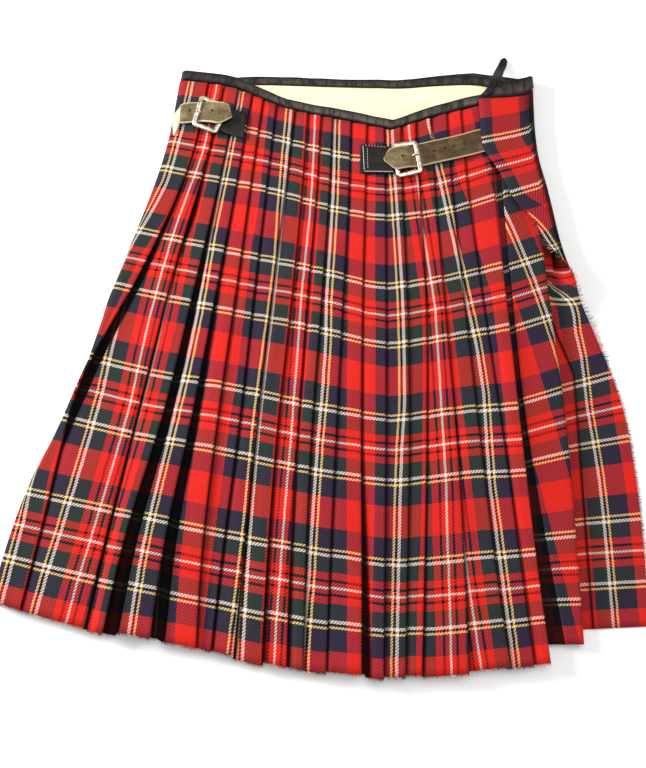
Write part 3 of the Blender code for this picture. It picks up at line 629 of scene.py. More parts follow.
def back_section(down):
    """(x, z, stripe, pleat, painted shade) along the back, from under the left fold to the last pleat's
    return.
    """
    left = read(ROWS, "left_x", down) + read_pairs(DRAWN_IN, down)
    first = pleat_x(0, down)
    loose = loosened(down)
    reach = min(1.0, (first - left) / 18)
    top = crest(0, down)
    eased = 1 + 0.17 * max(0.0, 1 - down / WAIST_FADE)      # the stripes crowd where the seat is drawn in
    stripe = pleat_stripe(0, down) - eased * (first - left)
    # The last number of each point is its painted shade: the left fold is darkened as it turns under.
    points = [
        (left + 9, CLOTH / 2, stripe - 17, 0, 0.6),
        (left + 4, CLOTH / 2 + 0.4, stripe - 12, 0, 0.6),
        (left + 0.8, 3.4, stripe - 8, 0, 0.5),
        (left, 6.6, stripe - 4, 0, 0.3),
        (left + 2.4 * reach, top - 2.2, stripe, 0, 0.1),
        (left + 6 * reach, top - 0.6, stripe + 6 * eased * reach, 0, 0),
    ]
    floor = top
    emerge = left + 6 * reach
    for k in range(len(PLEATS)):
        edge = pleat_x(k, down)
        top = crest(k, down)
        stripe = pleat_stripe(k, down)
        rate = eased if k < 4 else 1.0
        face = edge - (emerge if k else left)
        hidden = min(HIDDEN, 0.42 * face)
        sink = min(0.5, 0.04 * face)
        if k > 0:
            wide = pleat_open(k - 1, down)
            bank = min(3.0, 0.2 * face)
            climb = floor + (top - floor) * min(0.45 + 0.04 * wide, 0.8)
            # Painted shade: the valley floor is darkened fully, and the bank rising from it partly, more
            # where the valley opens.
            points.append((emerge, floor, stripe - rate * face, k, 1))
            shaded = 0.1 + 0.035 * wide
            points.append((emerge + bank, climb, stripe - rate * (face - bank), k, shaded))
            start_x, start_z = emerge + bank, climb
        else:
            start_x, start_z = emerge, top - 0.6
        reach_x = edge - hidden
        room = min(1.0, max(reach_x - start_x, 0) / 8)
        for share in (0.33, 0.67):
            x = start_x + share * (reach_x - start_x)
            z = start_z + share * (top - sink - start_z)
            swell = 0.35 * loose * math.sin(2.6 * k + down / 47 + 3 * share) + 0.25 * (1 - share)
            points.append((x, z + room * swell, stripe - rate * (edge - x), k, 0))
        points.append((reach_x, top - sink, stripe - rate * hidden, k, 0))
        points.append((edge - 0.45 * hidden, top - 0.35 * sink, stripe - rate * 0.45 * hidden, k, 0))
        points.append((edge - FOLD_R, top, stripe - FOLD_R, k, 0))
        # Painted shade on the pressed edge, and full painted shade on the return under it and the valley
        # beyond.
        points.append((edge, top - FOLD_R, stripe + 0.4, k, 0.45))
        points.append((edge - FOLD_R, top - 2 * FOLD_R, stripe + 1.6, k, 1))
        wide = pleat_open(k, down)
        floor = max(FLOOR_Z, top - sink - 4 * FOLD_R - 1.3 * wide)
        inner = edge - hidden
        points.append((inner + FOLD_R, floor + 2 * FOLD_R, stripe + hidden, k, 1))
        if k == len(PLEATS) - 1:
            break
        after = pleat_stripe(k + 1, down) - rate * (pleat_x(k + 1, down) - edge - wide)
        points.append((inner, floor + FOLD_R, after - hidden - wide - 1, k, 1))
        points.append((inner + FOLD_R, floor, after - hidden - wide, k, 1))
        if wide > 1.5:
            points.append((edge + 0.35 * wide, floor, after - 0.65 * wide, k, 1))
        else:
            points.append((edge - 0.3 * hidden, floor, after - 0.3 * hidden - wide, k, 1))
        emerge = edge + wide
    return points


def grid_of(section, y_of, downs):
    """The grids of points, of cloth coordinates and of the painted shade at each point, for a sheet."""
    grid, cloth, fold_depth_and_painted_shade = [], [], []
    for down in downs:
        line = curve_through(np.array(section(down), float))
        grid.append([(row[0], y_of(row, down), row[1]) for row in line])
        cloth.append([(along, down) for along in line[:, 2]])
        fold_depth_and_painted_shade.append(np.clip(line[:, 4], 0, 1))
    return grid, cloth, fold_depth_and_painted_shade


def hem_jog(owner, down):
    """How far a pleat's cloth slips up or down past its neighbours. It grows from start to the hem."""
    start = 250
    late = max(0.0, (down - start) / (LENGTH - start)) ** 1.5
    return late * (1.5 * np.sin(2.4 * owner + 0.4) + 0.8 * np.sin(5.1 * owner))


def back_y(row, down):
    """How high a point of the back's section lies."""
    return weft_y(row[0], down) + hem_jog(np.round(row[3]), down)


THIN = 0.8              # how thick the cloth is drawn where layers lie close
BACK_DOWNS = np.concatenate([[12.7, 20], np.linspace(30, LENGTH, 74)])
back_grid, back_cloth, back_painted_shade = grid_of(back_section, back_y, BACK_DOWNS)
back = sheet_mesh("pleated_back_cloth", back_grid, back_cloth, tartan, THIN, back_painted_shade)
print("pleated back:", len(back.data.polygons), "faces")

# %% [markdown]
# ## The two aprons
# The aprons are the strip's unpleated ends. The under-apron shows as one deep pleat beside the back. The
# over-apron lies beneath everything, and its top corner is folded round the hip onto the back, where its
# strap fastens. Below the hip its edge lies flat with the inner side up. Tartan looks the same on both
# sides, only mirrored, so one material does for both.

# %% The under-apron's section
MIDDLE_X = 65            # where the aprons' weft lines bend, near the middle of the kilt
TUCK_X = 266.0           # a tuck pressed into the over-apron, just right of the under-apron's fold
STRIP_X = 250            # where the over-apron's flat strip comes out beside the under-apron
VALLEY_STRIPE = 21.4     # the check's place in the valley between the back and the under-apron
TURN_STEPS = 12          # sections round the over-apron's turned side
# Pairs of a length down the cloth and a value. The first is the angle round the turned side up to which
# its colour is darkened with painted shade, as that side faces away from the window. The second is how
# steeply the weft falls away on the flat strip.
SHADED_TURN = ((0, 3.35), (30, 3.35), (60, 3.0), (200, 2.95))
STRIP_SLOPE = ((262, 0), (297, 0.38), (377, 0.30), (412, 0.24), (450, 0.20), (521, 0.14), (597, 0.12))


def middle_y(down):
    """How high the aprons' weft lines lie at MIDDLE_X."""
    return OVER[0].side_y + 2 - down


def under_section(down):
    """(x, z, stripe, part, painted shade) from the valley beside the back, round the outer fold and back
    below.
    """
    fold = read(UNDER, "fold_x", down)
    back_edge = read(UNDER, "back_x", down)
    start = pleat_x(len(PLEATS) - 1, down) - 8
    tuck = back_edge + 0.45 * (fold - back_edge)
    top = FLOOR_Z + 4 * FOLD_R
    radius = (top - UNDER_Z) / 2
    stripe = read(UNDER, "stripe", down)
    at_back = stripe - (fold - back_edge)
    # Painted shade on the valley floor beside the back: lighter near the waist, darker towards the hem.
    deep = float(np.interp(down, [150, 330], [0.3, 0.9]))
    points = [
        (start, FLOOR_Z, VALLEY_STRIPE - (back_edge - start), 0, deep),
        (back_edge, FLOOR_Z, VALLEY_STRIPE, 0, deep),
        (tuck - FOLD_R, FLOOR_Z, VALLEY_STRIPE + tuck - back_edge, 0, 0),
        (tuck, FLOOR_Z + FOLD_R, VALLEY_STRIPE + tuck - back_edge + 1, 0, 0),
        (tuck - FOLD_R, FLOOR_Z + 2 * FOLD_R, at_back - (tuck - back_edge), 0, 0),
        (back_edge + FOLD_R, top - 2 * FOLD_R, at_back - 1.6, 0, 0),
        (back_edge, top - FOLD_R, at_back, 0, 0),
        (back_edge + FOLD_R, top, at_back + 1, 0, 0),
        (0.5 * (back_edge + tuck), top + 0.1, stripe - (fold - 0.5 * (back_edge + tuck)), 0, 0),
        (tuck, top + 0.1, stripe - (fold - tuck), 0, 0),
        (0.5 * (tuck + fold), top + 0.1, stripe - 0.5 * (fold - tuck), 0, 0),
    ]
    # Painted shade grows as the fold turns under, and is full on the cloth below it.
    for angle in (90, 60, 30, 0, -30, -60, -90):
        turn = math.radians(angle)
        x = fold - radius + radius * math.cos(turn)
        z = UNDER_Z + radius + radius * math.sin(turn)
        far = (math.pi / 2 - turn) * radius - radius
        points.append((x, z, stripe + far, 0, max(0.0, 0.5 - turn)))
    left = read(ROWS, "left_x", down) + 25
    for share in (0.1, 0.3, 0.65, 1.0):
        x = fold - radius + share * (left - fold + radius)
        points.append((x, UNDER_Z, stripe + 9 + fold - x, 0, 1))
    return points


def under_y(x, z, down):
    """How high the under-apron's weft lies at x: on its visible fold, or below it where z is low."""
    fold = read(UNDER, "fold_x", down)
    edge_y = read(UNDER, "edge_y", down)
    if z > 5.5:
        return edge_y - read(UNDER, "tilt", down) * (fold - x)
    left = read(ROWS, "left_x", down)
    left_y = read(ROWS, "left_y", down) - apron_dip(down)
    straight = float(np.interp(x, [left, MIDDLE_X, fold], [left_y, middle_y(down), edge_y]))
    return straight + waist_rise(x, down)


print("the under-apron's section has", len(under_section(0)), "points")

# %% The over-apron's section
def over_section(down, z=OVER_Z):
    """(x, z, stripe, part, painted shade) from under the left fold to the free edge. over_y explains part."""
    left = read(ROWS, "left_x", down) + 9.3
    side = read(OVER, "side_x", down)
    turn = math.radians(max(read(OVER, "turn", down), 0.5))
    flap = read(OVER, "flap", down)
    stripe = read(OVER, "stripe", down)
    radius = APRON_TURN / turn
    if turn > math.pi / 2:
        start = side - radius
    else:
        start = side - radius * math.sin(turn) - flap * math.cos(turn)
    points = []
    # How far the tuck is pressed in, growing from 255 to 300 mm down; it also sets the painted shade inside
    # the tuck.
    fold_depth_and_painted_shade = float(np.clip((down - 255) / 45, 0, 1))
    knots = [left + share * (start - left) for share in (0, 0.25, 0.5, 0.75)]
    fold = min(TUCK_X, start - 6)
    gap = max(fold - 12 - knots[-1], 1)
    at_start = stripe - flap - APRON_TURN
    at_fold = at_start - (start - fold)
    slip = fold_depth_and_painted_shade * (at_fold - 16.0)          # the length of cloth that the tuck takes up
    for x in knots + [knots[-1] + 0.5 * gap, fold - 12]:
        points.append((x, z, at_fold - (fold - x) - slip, 0, 0))
    points.append((fold - 3, z + 0.2 * fold_depth_and_painted_shade, at_fold - 3 - slip, 0, 0))
    # Painted shade inside the tuck.
    points.append((fold + 0.4, z + 0.5 * fold_depth_and_painted_shade, at_fold - slip, 0, fold_depth_and_painted_shade))
    points.append((fold + 0.2, z + 1.3 * fold_depth_and_painted_shade + 0.2, at_fold - 0.1, 0, fold_depth_and_painted_shade))
    points.append((fold + 1.2, z + 1.7 * fold_depth_and_painted_shade + 0.1, at_fold + 1, 0, 0.3 * fold_depth_and_painted_shade))
    points.append((fold + 4.5, z + 0.8 * fold_depth_and_painted_shade, at_fold + 4, 0, 0))
    shaded = read_pairs(SHADED_TURN, down)
    for i in range(TURN_STEPS + 1):
        angle = turn * i / TURN_STEPS
        x = start + radius * math.sin(angle)
        height = z + radius * (1 - math.cos(angle))
        along = at_start + APRON_TURN * i / TURN_STEPS
        # Painted shade on the turned side, which faces away from the window.
        shade = 0.9 * float(np.clip((shaded - angle) / 0.3, 0, 1)) if turn > 2 else 0.0
        points.append((x, height, along, 1 + i / TURN_STEPS, shade))
    end_x, end_z, end_along = points[-1][:3]
    for share in (0.25, 0.5, 0.75, 1.0):
        reach = share * flap
        x = end_x + reach * math.cos(turn)
        height = end_z + reach * math.sin(turn)
        points.append((x, height, end_along + reach, 3, 0))
    return points


print("the over-apron's section has", len(over_section(0)), "points")

# %% How high the over-apron's weft lies
def flap_fall(down, reach):
    """How far the flap's weft line has fallen at a distance from the turned side."""
    return read(OVER, "tilt", down) * reach + read(OVER, "roll", down) * (1 - math.exp(-max(reach, 0) / 8))


def strip_fall(x, down):
    """How far the weft has fallen at x, where the over-apron lies flat beside the under-apron."""
    side = read(OVER, "side_x", down)
    reach = float(np.interp(x, [MIDDLE_X, STRIP_X, side], [0, side - STRIP_X, 0]))
    return read_pairs(STRIP_SLOPE, down) * reach


def over_y(part, x, down):
    """How high the over-apron's weft lies: part 0 is on the table, 1 to 2 round the turn, 3 the flap."""
    left = read(ROWS, "left_x", down) + 9
    left_y = weft_y(left, down) - apron_dip(down)
    side = read(OVER, "side_x", down)
    side_y = read(OVER, "side_y", down)
    straight = float(np.interp(x, [left, MIDDLE_X, side], [left_y, middle_y(down), side_y]))
    flat = straight + waist_rise(x, down) - strip_fall(x, down)
    share = float(np.clip(part - 1, 0, 1))
    if share <= 0:
        return flat
    lies = float(np.clip((down - 262) / 35, 0, 1))      # 1 where the free edge lies flat on the table
    level = side_y + lies * (flat - side_y)
    return level - share * read(OVER, "drop", down) - share * flap_fall(down, side - x)


print("on the flat strip the weft falls", round(strip_fall(STRIP_X, 450), 1), "mm from the free edge")

# %% Both aprons
APRON_DOWNS = np.concatenate([[12.3, 20], np.linspace(30, LENGTH, 76)])
under_grid, under_cloth, under_painted_shade = grid_of(
    under_section, lambda row, down: under_y(row[0], row[1], down), BACK_DOWNS)
under = sheet_mesh("under_apron_cloth", under_grid, under_cloth, tartan, THIN, under_painted_shade)
over_grid, over_cloth, over_painted_shade = grid_of(
    over_section, lambda row, down: over_y(row[3], row[0], down), APRON_DOWNS)
# This piece's outer side is below, so its check runs the other way.
over_cloth = [[(2 * REPEAT - u, v) for u, v in line] for line in over_cloth]
over = sheet_mesh("over_apron_cloth", over_grid, over_cloth, tartan, CLOTH, over_painted_shade)
print("aprons:", len(under.data.polygons), len(over.data.polygons), "faces")

# %% [markdown]
# ## Closed skins, and copies placed by Geometry Nodes
# Bands, straps and metal parts are closed skins drawn through rings of points. Small things that repeat,
# such as stitches, frayed threads and punched holes, are modelled once and copied by Geometry Nodes: the
# node group is built here, its inputs have names, and its result is kept as a plain mesh.

# %% Skins and copies
def skin(name, rings, material, closed=False, uv=None, edge=None):
    """A skin through rings of points in mm. closed joins the last ring to the first."""
    rings = np.array(rings, float) + SHIFT
    count, around = rings.shape[:2]
    index = np.arange(count * around).reshape(count, around)
    after = np.roll(index, -1, axis=1)
    if closed:
        quads = [index, after, np.roll(after, -1, axis=0), np.roll(index, -1, axis=0)]
    else:
        quads = [index[:-1], after[:-1], after[1:], index[1:]]
    faces = np.stack(quads, axis=-1).reshape(-1, 4).tolist()
    if not closed:
        faces += [index[0][::-1].tolist(), index[-1].tolist()]
    mesh = bpy.data.meshes.new(name)
    mesh.from_pydata((rings.reshape(-1, 3) * MM).tolist(), [], faces)
    body = bmesh.new()
    body.from_mesh(mesh)
    bmesh.ops.recalc_face_normals(body, faces=body.faces)
    body.to_mesh(mesh)
    body.free()
    set_cloth(mesh, np.zeros((count * around, 2)) if uv is None else uv)
    if edge is not None:
        set_values(mesh, "edge", edge)
    return finish_object(name, mesh, material)


print("skins can be drawn")

# %% Copies at points
def copies_group():
    """A node group that puts a copy of a piece at each point, turned along aim, scaled by size."""
    group = bpy.data.node_groups.new("copies at points", "GeometryNodeTree")
    for name, kind in (("Points", "Geometry"), ("Piece", "Object"), ("Spread", "Float"),
                       ("Seed", "Int"), ("Finish", "Material")):
        group.interface.new_socket(name=name, in_out="INPUT", socket_type="NodeSocket" + kind)
    group.interface.new_socket(name="Copies", in_out="OUTPUT", socket_type="NodeSocketGeometry")
    given = group.nodes.new("NodeGroupInput")
    result = group.nodes.new("NodeGroupOutput")
    piece = add_node(group, "GeometryNodeObjectInfo", {"Object": given.outputs["Piece"]})
    aim = add_node(group, "GeometryNodeInputNamedAttribute", {"Name": "aim"}, data_type="FLOAT_VECTOR")
    size = add_node(group, "GeometryNodeInputNamedAttribute", {"Name": "size"}, data_type="FLOAT_VECTOR")
    facing = add_node(group, "FunctionNodeAlignRotationToVector", {"Vector": aim.outputs[0]}, axis="Z")
    low = add_node(group, "ShaderNodeMath", {0: given.outputs["Spread"], 1: -1.0}, operation="MULTIPLY")
    wild = add_node(group, "FunctionNodeRandomValue", {
        "Min": low.outputs[0], "Max": given.outputs["Spread"], "Seed": given.outputs["Seed"],
    }, data_type="FLOAT_VECTOR")
    wilder = add_node(group, "FunctionNodeEulerToRotation", {0: wild.outputs[0]})
    turned = add_node(group, "FunctionNodeRotateRotation", {0: facing.outputs[0], 1: wilder.outputs[0]},
                      rotation_space="LOCAL")
    put = add_node(group, "GeometryNodeInstanceOnPoints", {
        "Points": given.outputs["Points"], "Instance": piece.outputs["Geometry"],
        "Rotation": turned.outputs[0], "Scale": size.outputs[0]})
    real = add_node(group, "GeometryNodeRealizeInstances", {0: put.outputs[0]})
    painted = add_node(group, "GeometryNodeSetMaterial", {
        0: real.outputs[0], "Material": given.outputs["Finish"]})
    group.links.new(painted.outputs[0], result.inputs[0])
    return group


COPIES = copies_group()


def copies(name, places, piece, material, spread=0.0, seed=1):
    """Copies of a piece. Each place is (point in mm, aim, (width, height, length) in mm, dye coordinate)."""
    mesh = bpy.data.meshes.new(name)
    mesh.from_pydata([tuple((np.array(p[0]) + SHIFT) * MM) for p in places], [], [])
    set_values(mesh, "aim", [p[1] for p in places], "FLOAT_VECTOR")
    set_values(mesh, "size", [np.array(p[2]) * MM for p in places], "FLOAT_VECTOR")
    set_values(mesh, "dye", [p[3] * MM for p in places])
    obj = bpy.data.objects.new(name, mesh)
    bpy.context.scene.collection.objects.link(obj)
    modifier = obj.modifiers.new("copies", "NODES")
    modifier.node_group = COPIES
    named = {item.name: item.identifier for item in COPIES.interface.items_tree if item.in_out == "INPUT"}
    for key, value in (("Piece", piece), ("Spread", spread), ("Seed", seed), ("Finish", material)):
        modifier[named[key]] = value
    return apply_modifiers(obj)


print("copies are made by a tree of", len(COPIES.nodes), "nodes")

# %% One stitch, one thread and one hole
def unit_piece(name, around, rings):
    """A small model one unit wide and one long, for copies to be made of. rings: (radius, bend, height)."""
    points = []
    for radius, bend, height in rings:
        for i in range(around):
            turn = 2 * math.pi * i / around
            points.append((bend + radius * math.cos(turn), radius * math.sin(turn), height))
    return skin(name, np.array(points).reshape(len(rings), around, 3) / MM - SHIFT, None)


STITCH = unit_piece("one stitch", 6, [
    (0.2, 0, -0.5), (0.45, 0.1, -0.38), (0.5, 0.3, 0), (0.45, 0.1, 0.38), (0.2, 0, 0.5)])
THREAD = unit_piece("one thread", 3, [(0.5, 0, 0), (0.5, 0.6, 0.35), (0.45, 0.2, 0.7), (0.15, -1.5, 1.0)])
HOLE = unit_piece("one punched hole", 12, [(0.5, 0, -0.5), (0.5, 0, 0.42), (0.43, 0, 0.5)])
print("one stitch, one thread and one hole are ready to be copied")

# %% [markdown]
# ## Bindings and lining
# The waist is bound in black satin tape, folded over the raw edge of the cloth and stitched. It shows as
# a flat tube with two fuller edges and small puckers where the stitches pull. Inside the waist a cream
# cotton lining shows past the back's dipping edge.

# %% Black satin
def satin_material(name, tone_left, tone_right):
    """Black satin with a painted sheen: its face is painted grey between near-black edges, and the painted
    sheen is darker towards one end of the tape.
    """
    made, tree, shader = start_material(name, 0.5, Sheen_Weight=0.03, Sheen_Roughness=0.4,
                                        Specular_IOR_Level=0.2)
    place = cloth_place(tree)
    parts = add_node(tree, "ShaderNodeSeparateXYZ", {0: place})
    along, down = parts.outputs[0], parts.outputs[1]
    streaks = stretched_noise(tree, place, (60, 700, 1), Detail=3.0)
    puckers = stretched_noise(tree, place, (170, 60, 1), Detail=3.0, Distortion=0.6)
    # The ramp across the tape is painted sheen: grey on its face, near black at its edges.
    ramp = add_node(tree, "ShaderNodeValToRGB", {0: maths(tree, "DIVIDE", down, BAND * MM)})
    stops = ramp.color_ramp.elements
    stops[0].position, stops[0].color = 0.0, linear("#0E0B0A")
    stops[1].position, stops[1].color = 1.0, linear("#0A0707")
    for position, colour in ((0.12, "#120E0D"), (0.24, "#3A322E"), (0.5, "#4A413B"), (0.72, "#514741"),
                             (0.85, "#241D1D"), (0.92, "#0C0909")):
        stops.new(position).color = linear(colour)
    # Streaks and puckers vary the painted sheen, and darken the wrinkles with painted shade.
    tone = maths(tree, "MULTIPLY_ADD", streaks, 0.8, 0.6)
    tone = maths(tree, "MULTIPLY", tone, remap(tree, puckers, 0.38, 0.58, 0.3, 1.25))
    tone = maths(tree, "MULTIPLY", tone, remap(tree, along, 0.05, 0.16, tone_left, tone_right))
    tree.links.new(shade_by(tree, ramp.outputs[0], tone), shader.inputs["Base Color"])
    height = maths(tree, "MULTIPLY_ADD", puckers, 1.5, streaks)
    add_bump(tree, shader, height, strength=0.4, distance=0.0008)
    return made


# The back's binding has its painted sheen darker towards its left end.
satin = satin_material("black satin binding, painted sheen", tone_left=0.35, tone_right=1.0)
dark_satin = satin_material("black satin binding", tone_left=0.6, tone_right=0.55)
print("two finishes of satin are mixed")

# %% The bindings
# Round one side of a tape: how far down it, and the share of its half thickness there.
BAND_ROUND = ((0.0, 0.1), (0.25, 0.7), (1.0, 0.96), (2.6, 1.0), (6.0, 0.88), (9.4, 1.0), (10.9, 0.96),
              (11.7, 0.72), (BAND, 0.15))


def band_mesh(name, section, y_of, thick, pucker, material):
    """A tape folded over the edge that the section follows. pucker is how deep its wrinkles are."""
    sides = []
    for up in (1, -1):
        lines = []
        for down, share in BAND_ROUND:
            line = curve_through(np.array(section(down), float))
            run = np.gradient(line[:, :2], axis=0)
            run /= np.linalg.norm(run, axis=1)[:, None]
            along = np.concatenate([[0], np.cumsum(np.linalg.norm(np.diff(line[:, :2], axis=0), axis=1))])
            wrinkle = pucker * np.sin(along / 2.3 + 2.2 * np.sin(along / 13) + 0.25 * down)
            height = up * share * (thick / 2 + wrinkle * math.sin(math.pi * down / BAND) * 0.5)
            ys = [y_of(row, down) for row in line]
            ys = np.array(ys) + 0.25 * np.sin(along / 7.1 + 1.3 * np.sin(along / 19))
            lines.append(np.stack([line[:, 0] - run[:, 1] * height, ys, line[:, 1] + run[:, 0] * height,
                                   along, np.full(len(line), down)], axis=1))
        sides += lines if up > 0 else lines[::-1]
    rings = np.array(sides).transpose(1, 0, 2)
    return skin(name, rings[:, :, :3], material, uv=rings[:, :, 3:])


def back_band_section(down):
    """(x, z) along the back's binding, from the left fold over the pleats to the under-apron."""
    left = read(ROWS, "left_x", down)
    middle = CREST_WAIST - 1.4
    points = [(left + 2.6, 5.6), (left + 2.9, 7.4), (left + 4.4, 9.2), (left + 8, middle)]
    points += [(x, middle + 0.2 * math.sin(x / 6)) for x in np.linspace(left + 13, 222, 84)]
    return points


def back_band_y(row, down):
    """The back's binding follows the pleats, and past the last of them the under-apron."""
    x = row[0]
    last = pleat_x(len(PLEATS) - 1, down)
    return under_y(x, FLOOR_Z, down) if x > last + 9 else weft_y(x, down)


def under_band_section(down):
    """(x, z) along the under-apron's binding."""
    left = read(ROWS, "left_x", down) + 26
    right = read(UNDER, "fold_x", down) - 3
    return [(x, UNDER_Z + 0.5) for x in np.linspace(left, right, 60)]


def under_band_y(row, down):
    """The under-apron's binding follows the hidden part of the under-apron."""
    return under_y(row[0], UNDER_Z, down)


FRONT_Z = 1.3           # the height of the over-apron's binding
SLANT = 14              # how far back its end on the flap is cut


def front_band_section(down):
    """(x, z, part) along the over-apron's binding. Its end on the flap is cut slanting."""
    line = np.array(over_section(down, z=FRONT_Z), float)[:, [0, 1, 3]]
    turned, end = line[-5, 0], line[-1, 0]
    line[-4:, 0] += SLANT * (1 - down / BAND) * ((turned - line[-4:, 0]) / (turned - end)) ** 2
    return line


def front_band_y(row, down):
    """The over-apron's binding follows it, and rises round the turn."""
    x, part = row[0], row[2]
    return over_y(part, x, down) + 5 * (1 - down / BAND) * min(max(part - 1, 0), 1)


band_back = band_mesh(
    "waist_binding_back", back_band_section, back_band_y, thick=4.6, pucker=0.5, material=satin)
band_front = band_mesh(
    "waist_binding_front", front_band_section, front_band_y, thick=2.4, pucker=0.3, material=dark_satin)
band_under = band_mesh(
    "waist_binding_under", under_band_section, under_band_y, thick=2.6, pucker=0.3, material=dark_satin)
print("bindings:", [len(band.data.polygons) for band in (band_back, band_front, band_under)], "faces")

# %% The lining
def cotton_material():
    """Cream cotton with fine creases, painted a little darker along them as shade."""
    made, tree, shader = start_material("cream cotton lining", 0.8)
    creases = stretched_noise(tree, cloth_place(tree), (9, 55, 1), Detail=4.0)
    from_crease = maths(tree, "ABSOLUTE", maths(tree, "SUBTRACT", creases, 0.5))
    smooth_part = remap(tree, from_crease, 0.0, 0.05, 0.0, 1.0)
    # Painted shade: the cotton is a little darker along its creases.
    colour = blend(tree, smooth_part, linear("#E6DDB2"), linear("#EEE6BC"))
    tree.links.new(colour, shader.inputs["Base Color"])
    add_bump(tree, shader, smooth_part, strength=0.1, distance=0.0004)
    return made


cotton = cotton_material()
LINING_END = 150        # how far down the lining reaches


def lining_z(x, down):
    """The height of the lining, which is a little wavy."""
    return LINING_Z + 0.25 * math.sin(x / 21 + down / 30)


lining_grid, lining_cloth = [], []
for down in np.linspace(BAND + 0.3, LINING_END, 24):
    left, right = read(ROWS, "left_x", down) + 30, read(UNDER, "fold_x", down) - 10
    xs = np.linspace(left, right, 90)
    lining_grid.append([(x, under_y(x, UNDER_Z, down), lining_z(x, down)) for x in xs])
    lining_cloth.append([(x, down) for x in xs])
lining = sheet_mesh("lining_cloth", lining_grid, lining_cloth, cotton, THIN)
print("lining:", len(lining.data.polygons), "faces")

# %% [markdown]
# ## Straps, buckles and tabs
# Three leather straps close a kilt, and two of them show here. Each runs under its buckle's front bar, on
# over the heel bar and ends in a point. The leather is old: dark in its creases, rubbed pale on its face
# and raw along its cut edges.

# %% Leather and metal
def leather_material(name, deep, face, worn, raw, roughness, wear, greased=0.0):
    """Old leather in four colours: deep in its marks, face, worn patches and raw cut edges. The mesh's own
    attribute, edge, is 0 on the middle of the face and 1 on its cut edges. greased darkens it further along.
    """
    made, tree, shader = start_material(name, roughness, Specular_IOR_Level=0.2)
    place = add_node(tree, "ShaderNodeTexCoord").outputs["Object"]
    edge = add_node(tree, "ShaderNodeAttribute", attribute_name="edge").outputs["Fac"]
    grain = add_node(tree, "ShaderNodeTexNoise", {
        "Vector": place, "Scale": 420.0, "Detail": 4.0, "Roughness": 0.7}).outputs[0]
    patches = add_node(tree, "ShaderNodeTexNoise", {
        "Vector": place, "Scale": 75.0, "Detail": 5.0, "Distortion": 0.8}).outputs[0]
    spots = add_node(tree, "ShaderNodeTexVoronoi", {"Vector": place, "Scale": 260.0}, feature="F1")
    rubbed = remap(tree, patches, 0.42, 0.66, 0.0, wear)
    colour = blend(tree, rubbed, linear(face), linear(worn))
    marked = maths(tree, "MULTIPLY", maths(tree, "LESS_THAN", spots.outputs["Distance"], 0.22),
                   maths(tree, "GREATER_THAN", grain, 0.52))
    colour = blend(tree, maths(tree, "MULTIPLY", marked, 0.7), colour, linear(deep))
    colour = blend(tree, remap(tree, grain, 0.3, 0.55, 0.6, 0.0), colour, linear(deep))
    along = add_node(tree, "ShaderNodeSeparateXYZ", {0: cloth_place(tree)}).outputs[0]
    dark_run = remap(tree, along, 0.038, 0.048, 0.0, greased)
    colour = blend(tree, dark_run, colour, linear("#BBAA9F"), "MULTIPLY")
    colour = blend(tree, remap(tree, edge, 0.86, 0.95, 0.0, 0.9), colour, linear(raw))
    tree.links.new(colour, shader.inputs["Base Color"])
    add_bump(tree, shader, grain, strength=0.45, distance=0.0004)
    return made


def metal_material():
    """Nickel plate, worn bright in places and tarnished in others."""
    made, tree, shader = start_material("worn nickel plate", 0.32, Metallic=1.0)
    place = add_node(tree, "ShaderNodeTexCoord").outputs["Object"]
    tarnish = add_node(tree, "ShaderNodeTexNoise", {
        "Vector": place, "Scale": 160.0, "Detail": 4.0}).outputs[0]
    bright = remap(tree, tarnish, 0.4, 0.62, 0.0, 1.0)
    tree.links.new(blend(tree, bright, linear("#B0A387"), linear("#F4ECDD")), shader.inputs["Base Color"])
    tree.links.new(maths(tree, "MULTIPLY_ADD", tarnish, 0.3, 0.2), shader.inputs["Roughness"])
    return made


olive = leather_material(
    "worn olive leather", "#20170D", "#655539", "#8B7954", "#CDAE90", roughness=0.5, wear=0.8, greased=1.0)
khaki = leather_material(
    "worn khaki leather", "#2A2114", "#655739", "#8F7F5A", "#D9C6A4", roughness=0.5, wear=0.8)
black = leather_material(
    "black tab leather", "#060404", "#120E0C", "#2A2421", "#16110F", roughness=0.5, wear=0.5)
flesh = leather_material(
    "raw leather back", "#B9AA80", "#E9DDB4", "#F7EFCF", "#F7EFCF", roughness=0.8, wear=0.6)
nickel = metal_material()
print("four leathers and one metal are mixed")

# %% Straps and tabs
# The thicknesses of the leathers and the ribbon.
STRAP_THICK = 2.2
CURL_THICK = 1.4
TAB_THICK = 1.8
RIBBON_THICK = 1.3
POINTED = 12            # a strap that starts narrower than this starts in a point,
RAW_TIP = 2.5           # which is raw over this length
# Round a strap: how far across its half width, and how far up its half thickness.
STRAP_ROUND = (
    (-1, 0), (-0.985, 0.55), (-0.93, 0.86), (-0.5, 1.0), (0, 1.06), (0.5, 1.0), (0.93, 0.86),
    (0.985, 0.55), (1, 0), (0.985, -0.7), (0.9, -1), (0.3, -1), (-0.3, -1), (-0.9, -1),
    (-0.985, -0.7))


